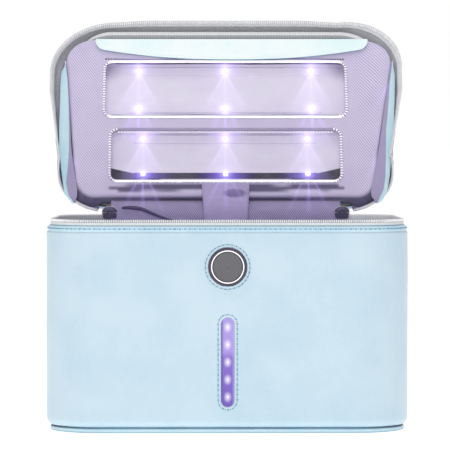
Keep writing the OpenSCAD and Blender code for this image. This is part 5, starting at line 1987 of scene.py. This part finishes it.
@dataclass
class HingeCloth:
    """The three sheets that cross the hinge, bent to the lid's open angle."""

    def sheet(self, name: str, line: list[tuple[float, float]], widths: tuple[float, float], thick: float,
              finish: Finish, waves: float, node: str,
              dent: Callable[[np.ndarray, float], tuple[np.ndarray, np.ndarray]] | None = None,
              ) -> Object:
        """A sheet across the hinge.

        Args:
            name: The piece's name.
            line: Its middle line in y and z, from one end to the other.
            widths: Half its width at the two ends of the line.
            thick: Its thickness in millimetres.
            finish: What it is made of.
            waves: How deep its wrinkles are in millimetres.
            node: The solid that it stands for.
            dent: How far it is pushed out and how much painted shade it gets there, by place across and
                along.

        Returns:
            The sheet, bent between body and lid.
        """
        track = np.array(line)
        s = path_lengths(track)
        at = np.linspace(0, s[-1], max(12, int(s[-1] / 1.6)))
        mid = np.column_stack([np.interp(at, s, track[:, 0]), np.interp(at, s, track[:, 1])])
        for _ in range(3):
            mid[1:-1] = (mid[:-2] + 2 * mid[1:-1] + mid[2:]) / 4
        step = np.gradient(mid, axis=0)
        step /= np.linalg.norm(step, axis=1)[:, None]
        normal = np.column_stack([-step[:, 1], step[:, 0]])
        columns = max(14, int(2 * max(widths) / 3.0))
        rows, maps, dark = [], [], []
        for i, (y, z) in enumerate(mid):
            share = at[i] / s[-1]
            half = widths[0] + (widths[1] - widths[0]) * share
            x = np.linspace(-half, half, columns)
            places = np.column_stack([x * 0.5, np.full(columns, y), np.full(columns, z)])
            hold = math.sin(math.pi * share) ** 0.5
            push = waves * ripple(places, 8.0, 21.0) * hold
            pushed, shade = dent(x, at[i]) if dent else (0 * x, 0 * x)
            push = push + pushed
            dark.append(shade)
            rows.append(np.column_stack([x, y + normal[i, 0] * push, z + normal[i, 1] * push]))
            maps.append(np.column_stack([x, np.full(columns, at[i])]) * MM)
        made = loft(name, np.stack(rows, 0), finish, uv=np.stack(maps, 0))
        # Painted shade in the hollow, through the "fold" value.
        marked(made, "fold", np.stack(dark, 0).ravel())
        solid(made, thick, 0.0)
        applied(made)
        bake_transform(made)
        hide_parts(node)
        return made

    def build(self) -> list[Object]:
        """Makes the leather strip, the lining and the lead's sleeve."""
        pin_y, pin_z = HINGE_Y, HINGE_Z
        strip = [(pin_y + a, pin_z + b) for a, b in ((-2.9, -15.2), (-2.5, -11), (-1.3, -7.4), (1, -5),
                                                     (3.6, -4.3), (6.2, -5), (8.6, -6.7))]
        inner = -WALL_T - 0.9
        lining = [(pin_y + a, pin_z + b) for a, b in ((5, 3.2), (1.4, 1.2), (-2.4, -2.6), (-5.2, -7.6),
                                                      (inner + 0.2, -13), (inner, -19), (inner, -30))]
        inner = -WALL_T - 2.6
        sleeve = [(pin_y + a, pin_z + b) for a, b in ((7.6, 20.3), (3.8, 14.4), (-0.3, 8.2), (-3.6, 3.4),
                                                      (-6.4, -2.2), (inner + 0.5, -8.5), (inner, -15),
                                                      (inner, -27))]

        def hollow(x: np.ndarray, along: float) -> tuple[np.ndarray, np.ndarray]:
            """An oval hollow right of the middle, near the sleeve's top, with painted shade inside it."""
            d = np.hypot((x - 9) / 11.5, (along - 11.5) / 5.2)
            return -1.3 * ease(1 - d) + 0.5 * bump_at(d, 1.15, 0.2), 0.8 * ease((1.1 - d) / 0.35)

        return [self.sheet("hinge_leather", strip, (97, 97), 1.1, LEATHER, 0.2, "hinge_strip"),
                self.sheet("hinge_cloth", lining, (112, 112), 0.8, HINGE_TWILL, 0.8, "hinge_lining"),
                self.sheet("lead_sleeve_cloth", sleeve, (23.5, 20.5), 1.2, SLEEVE_TWILL, 0.5,
                           "lead_sleeve", hollow)]


@dataclass
class ZipEnds:
    """What shows at the zip's two ends: the sliders' domed plates, and the tail of the lid's tape.

    Attributes:
        half: Half the width and half the height of a plate.
        middle: Height of a plate's middle.
    """

    half: tuple[float, float] = (7.4, 5.6)
    middle: float = 197.6

    def plate(self, sign: int) -> list[Object]:
        """A domed oval plate in front of a slider, with a painted highlight round its rim and across it as a
        bar.
        """
        x, y, z = sign * (ZIP_GAP + 7.0), -FRONT_Y - TAPE_INSET - 1.5, self.middle
        turns = np.linspace(0, 2 * math.pi, 40, endpoint=False)
        rows = [np.column_stack([x + self.half[0] * r * np.cos(turns), np.full(40, y - 0.7 * (1 - r ** 2)),
                                 z + self.half[1] * r * np.sin(turns)])
                for r in (0.04, 0.3, 0.6, 0.85, 1.0)]
        dome = loft("plate", np.stack(rows, 1), SLIDER_ZINC, ring=True)
        solid(dome, 0.8, 0.0)
        rim = np.column_stack([x + self.half[0] * np.cos(turns), np.full(40, y - 0.2),
                               z + self.half[1] * np.sin(turns)])
        out = np.tile(FRONT_OUT, (40, 1))
        edge = Run("rim", ZINC_HIGHLIGHT, 0.6, (1.2, 0.8, 0.8)).along(rim, out, True)
        xs = np.linspace(-self.half[0] * 0.9, self.half[0] * 0.9, 12)
        line = np.column_stack([x + xs, np.full(12, y - 0.8), np.full(12, z - 0.6)])
        bar = Run("bar", ZINC_HIGHLIGHT, 0.6, (1.2, 0.7, 0.6)).along(line, out[:12], False)
        return [applied(dome), edge, bar]

    def tail(self) -> Object:
        """The end of the lid's zip tape, which droops beside the left slider, painted dark violet as shade.
        """
        line = [(-101.2, 201.6), (-96.5, 202.2), (-92.4, 202.0), (-87.5, 201.6), (-82.7, 200.8),
                (-78.0, 199.2), (-72.9, 196.9), (-68.0, 195.0), (-63.1, 193.0), (-57.0, 191.0),
                (-51.4, 189.8)]
        path = np.array([(x, 93.8 + (z - 190) * 0.27, z) for x, z in line])
        wide = np.interp(np.arange(len(path)), [0, 3, 7, 10], [1.2, 2.0, 1.6, 0.8])
        turns = np.linspace(0, 2 * math.pi, 10, endpoint=False)
        rows = [np.column_stack([np.full(10, x), y + 0.6 * np.cos(turns), z + w * np.sin(turns)])
                for (x, y, z), w in zip(path, wide)]
        points = np.stack(rows, 0)
        return outward(loft("tape_tail", points, TAIL, shell=True))

    def build(self) -> list[Object]:
        """Makes both plates and the tail."""
        pieces = []
        for sign, body in ((-1, "slider_left"), (1, "slider_right")):
            for made in self.plate(sign):
                made.name = f"{body}_{made.name.split('.')[0]}"
                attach(made, body)
                pieces.append(made)
        tail = self.tail()
        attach(tail, "body")
        return [*pieces, tail]


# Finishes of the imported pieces


def dress_nodes() -> None:
    """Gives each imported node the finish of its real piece."""
    finishes: dict[str, Finish] = {
        "base_panel": TRIM_LEATHER, "base_board": GREYBOARD, "base_welt": WELT_SHADE, "body_board": GREYBOARD,
        "rim_collar": TRIM_LEATHER, "button_bezel": DARK_ABS, "button_light_ring": RING_LIGHT,
        "power_button": CAP, "button_spring": SPRING_STEEL, "switch_body": DARK_ABS, "button_nut": NUT_BRASS,
        "indicator_lens": LENS, "indicator_lamps": LEVEL_LAMP, "indicator_board": LAMINATE,
        "control_board": LAMINATE, "control_cover": HOUSING_ABS, "power_inlet": DARK_ABS,
        "inlet_board": LAMINATE, "inlet_cover": HOUSING_ABS, "wall_lead": DARK_ABS, "lid_board": GREYBOARD,
        "panel_backing": GREYBOARD, "reflector_upper": TRAY, "reflector_lower": TRAY,
        "lamp_strips_upper": TRAY, "lamp_strips_lower": STRIP, "lamps_upper": STAR_LAMP,
        "lamps_lower": STAR_LAMP, "window_upper": FILM, "window_lower": FILM,
        "window_bead_upper": BEAD_CORE, "window_bead_lower": BEAD_CORE,
        "slider_left": SLIDER_ZINC, "slider_right": SLIDER_ZINC, "pull_left": SLIDER_ZINC,
        "pull_right": SLIDER_ZINC,
    }
    for name, finish in finishes.items():
        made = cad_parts[name]
        made.data.materials.clear()
        made.data.materials.append(finish.material())


# Studio


@dataclass
class Studio:
    """A pale floor, soft lights and the camera of the photograph.

    Attributes:
        away: Distance from the box's front to the camera in metres.
        height: Height of the camera in metres.
        side: How far the camera stands to the left in metres.
        focal: Focal length in pixels of the image.
        turn: How far it is turned to the right in radians.
    """

    away: float = 3.0
    height: float = 0.2855
    side: float = 0.028
    focal: float = 3286.0
    turn: float = 0.00851

    def camera(self) -> None:
        """Sets the camera, which looks a little down and to the right."""
        lens = bpy.data.cameras.new("camera")
        lens.sensor_width = 36.0
        lens.lens = self.focal / IMAGE_SIZE * lens.sensor_width
        lens.clip_end = 100
        made = linked("camera", lens)
        made.location = (-self.side, FRONT_Y * MM - self.away, self.height)
        down = math.atan((IMAGE_SIZE / 2 - HORIZON_ROW) / self.focal)
        made.rotation_euler = (math.pi / 2 - down, 0, -self.turn)
        bpy.context.scene.camera = made

    def light(self, name: str, place: tuple[float, float, float], aim: tuple[float, float, float],
              size: tuple[float, float], power: float) -> None:
        """Adds a softbox that looks at a point."""
        lamp = bpy.data.lights.new(name, "AREA")
        lamp.shape, lamp.size, lamp.size_y, lamp.energy = "RECTANGLE", size[0], size[1], power
        made = linked(name, lamp)
        made.location = place
        made.rotation_euler = (Vector(aim) - Vector(place)).to_track_quat("-Z", "Y").to_euler()

    def build(self) -> None:
        """Sets the floor, the world, the lights and the camera."""
        mesh = bpy.data.meshes.new("floor")
        mesh.from_pydata([(-30, -30, 0), (30, -30, 0), (30, 30, 0), (-30, 30, 0)], [], [(0, 1, 2, 3)])
        floor = linked("floor", mesh)
        paint = bpy.data.materials.new("pale_floor")
        paint.use_nodes = True
        shader = paint.node_tree.nodes["Principled BSDF"]
        feed(shader, {"Base Color": (0.9, 0.9, 0.9, 1), "Roughness": 0.9, "Specular IOR Level": 0.1,
                      "Emission Color": (1, 1, 1, 1), "Emission Strength": 0.62})
        mesh.materials.append(paint)
        world = bpy.data.worlds.new("studio")
        world.use_nodes = True
        tree = world.node_tree
        seen = add(tree, "LightPath", out="Is Camera Ray")
        strength = add(tree, "MapRange", [seen, 0.0, 1.0, 0.47, 1.0])
        backdrop = tree.nodes["Background"]
        feed(backdrop, {"Color": (1, 1, 1, 1), "Strength": strength})
        bpy.context.scene.world = world
        self.light("front_softbox", (-0.3, -2.6, 1.5), (0, 0, 0.2), (1.8, 1.4), 21.0)
        self.light("left_softbox", (-2.0, -0.1, 0.5), (0, 0, 0.15), (0.35, 1.2), 0.4)
        self.light("right_softbox", (2.0, -0.1, 0.5), (0, 0, 0.15), (0.35, 1.2), 0.4)
        self.light("top_softbox", (0.0, 0.1, 2.2), (0, 0, 0.2), (1.6, 1.6), 10.6)
        self.light("back_softbox", (0.3, 2.6, 1.5), (0, 0, 0.2), (1.8, 1.4), 13.7)
        scene = bpy.context.scene
        scene.view_settings.view_transform = "Standard"
        scene.view_settings.look = "None"
        self.camera()


def main() -> None:
    """Builds each sub-assembly in order and reports its pieces."""
    logging.basicConfig(level=logging.INFO, format="%(message)s")
    Studio().build()
    dress_nodes()
    for part in (BodyLeather(), RimZip(), Well(), LidLeather(), ZipBand(), LightPanel(), Flaps(),
                 HingeCloth(), ZipEnds()):
        for made in part.build():
            log.info("%s: %s, %d faces", type(part).__name__, made.name, len(made.data.polygons))


if __name__ == "__main__":
    main()
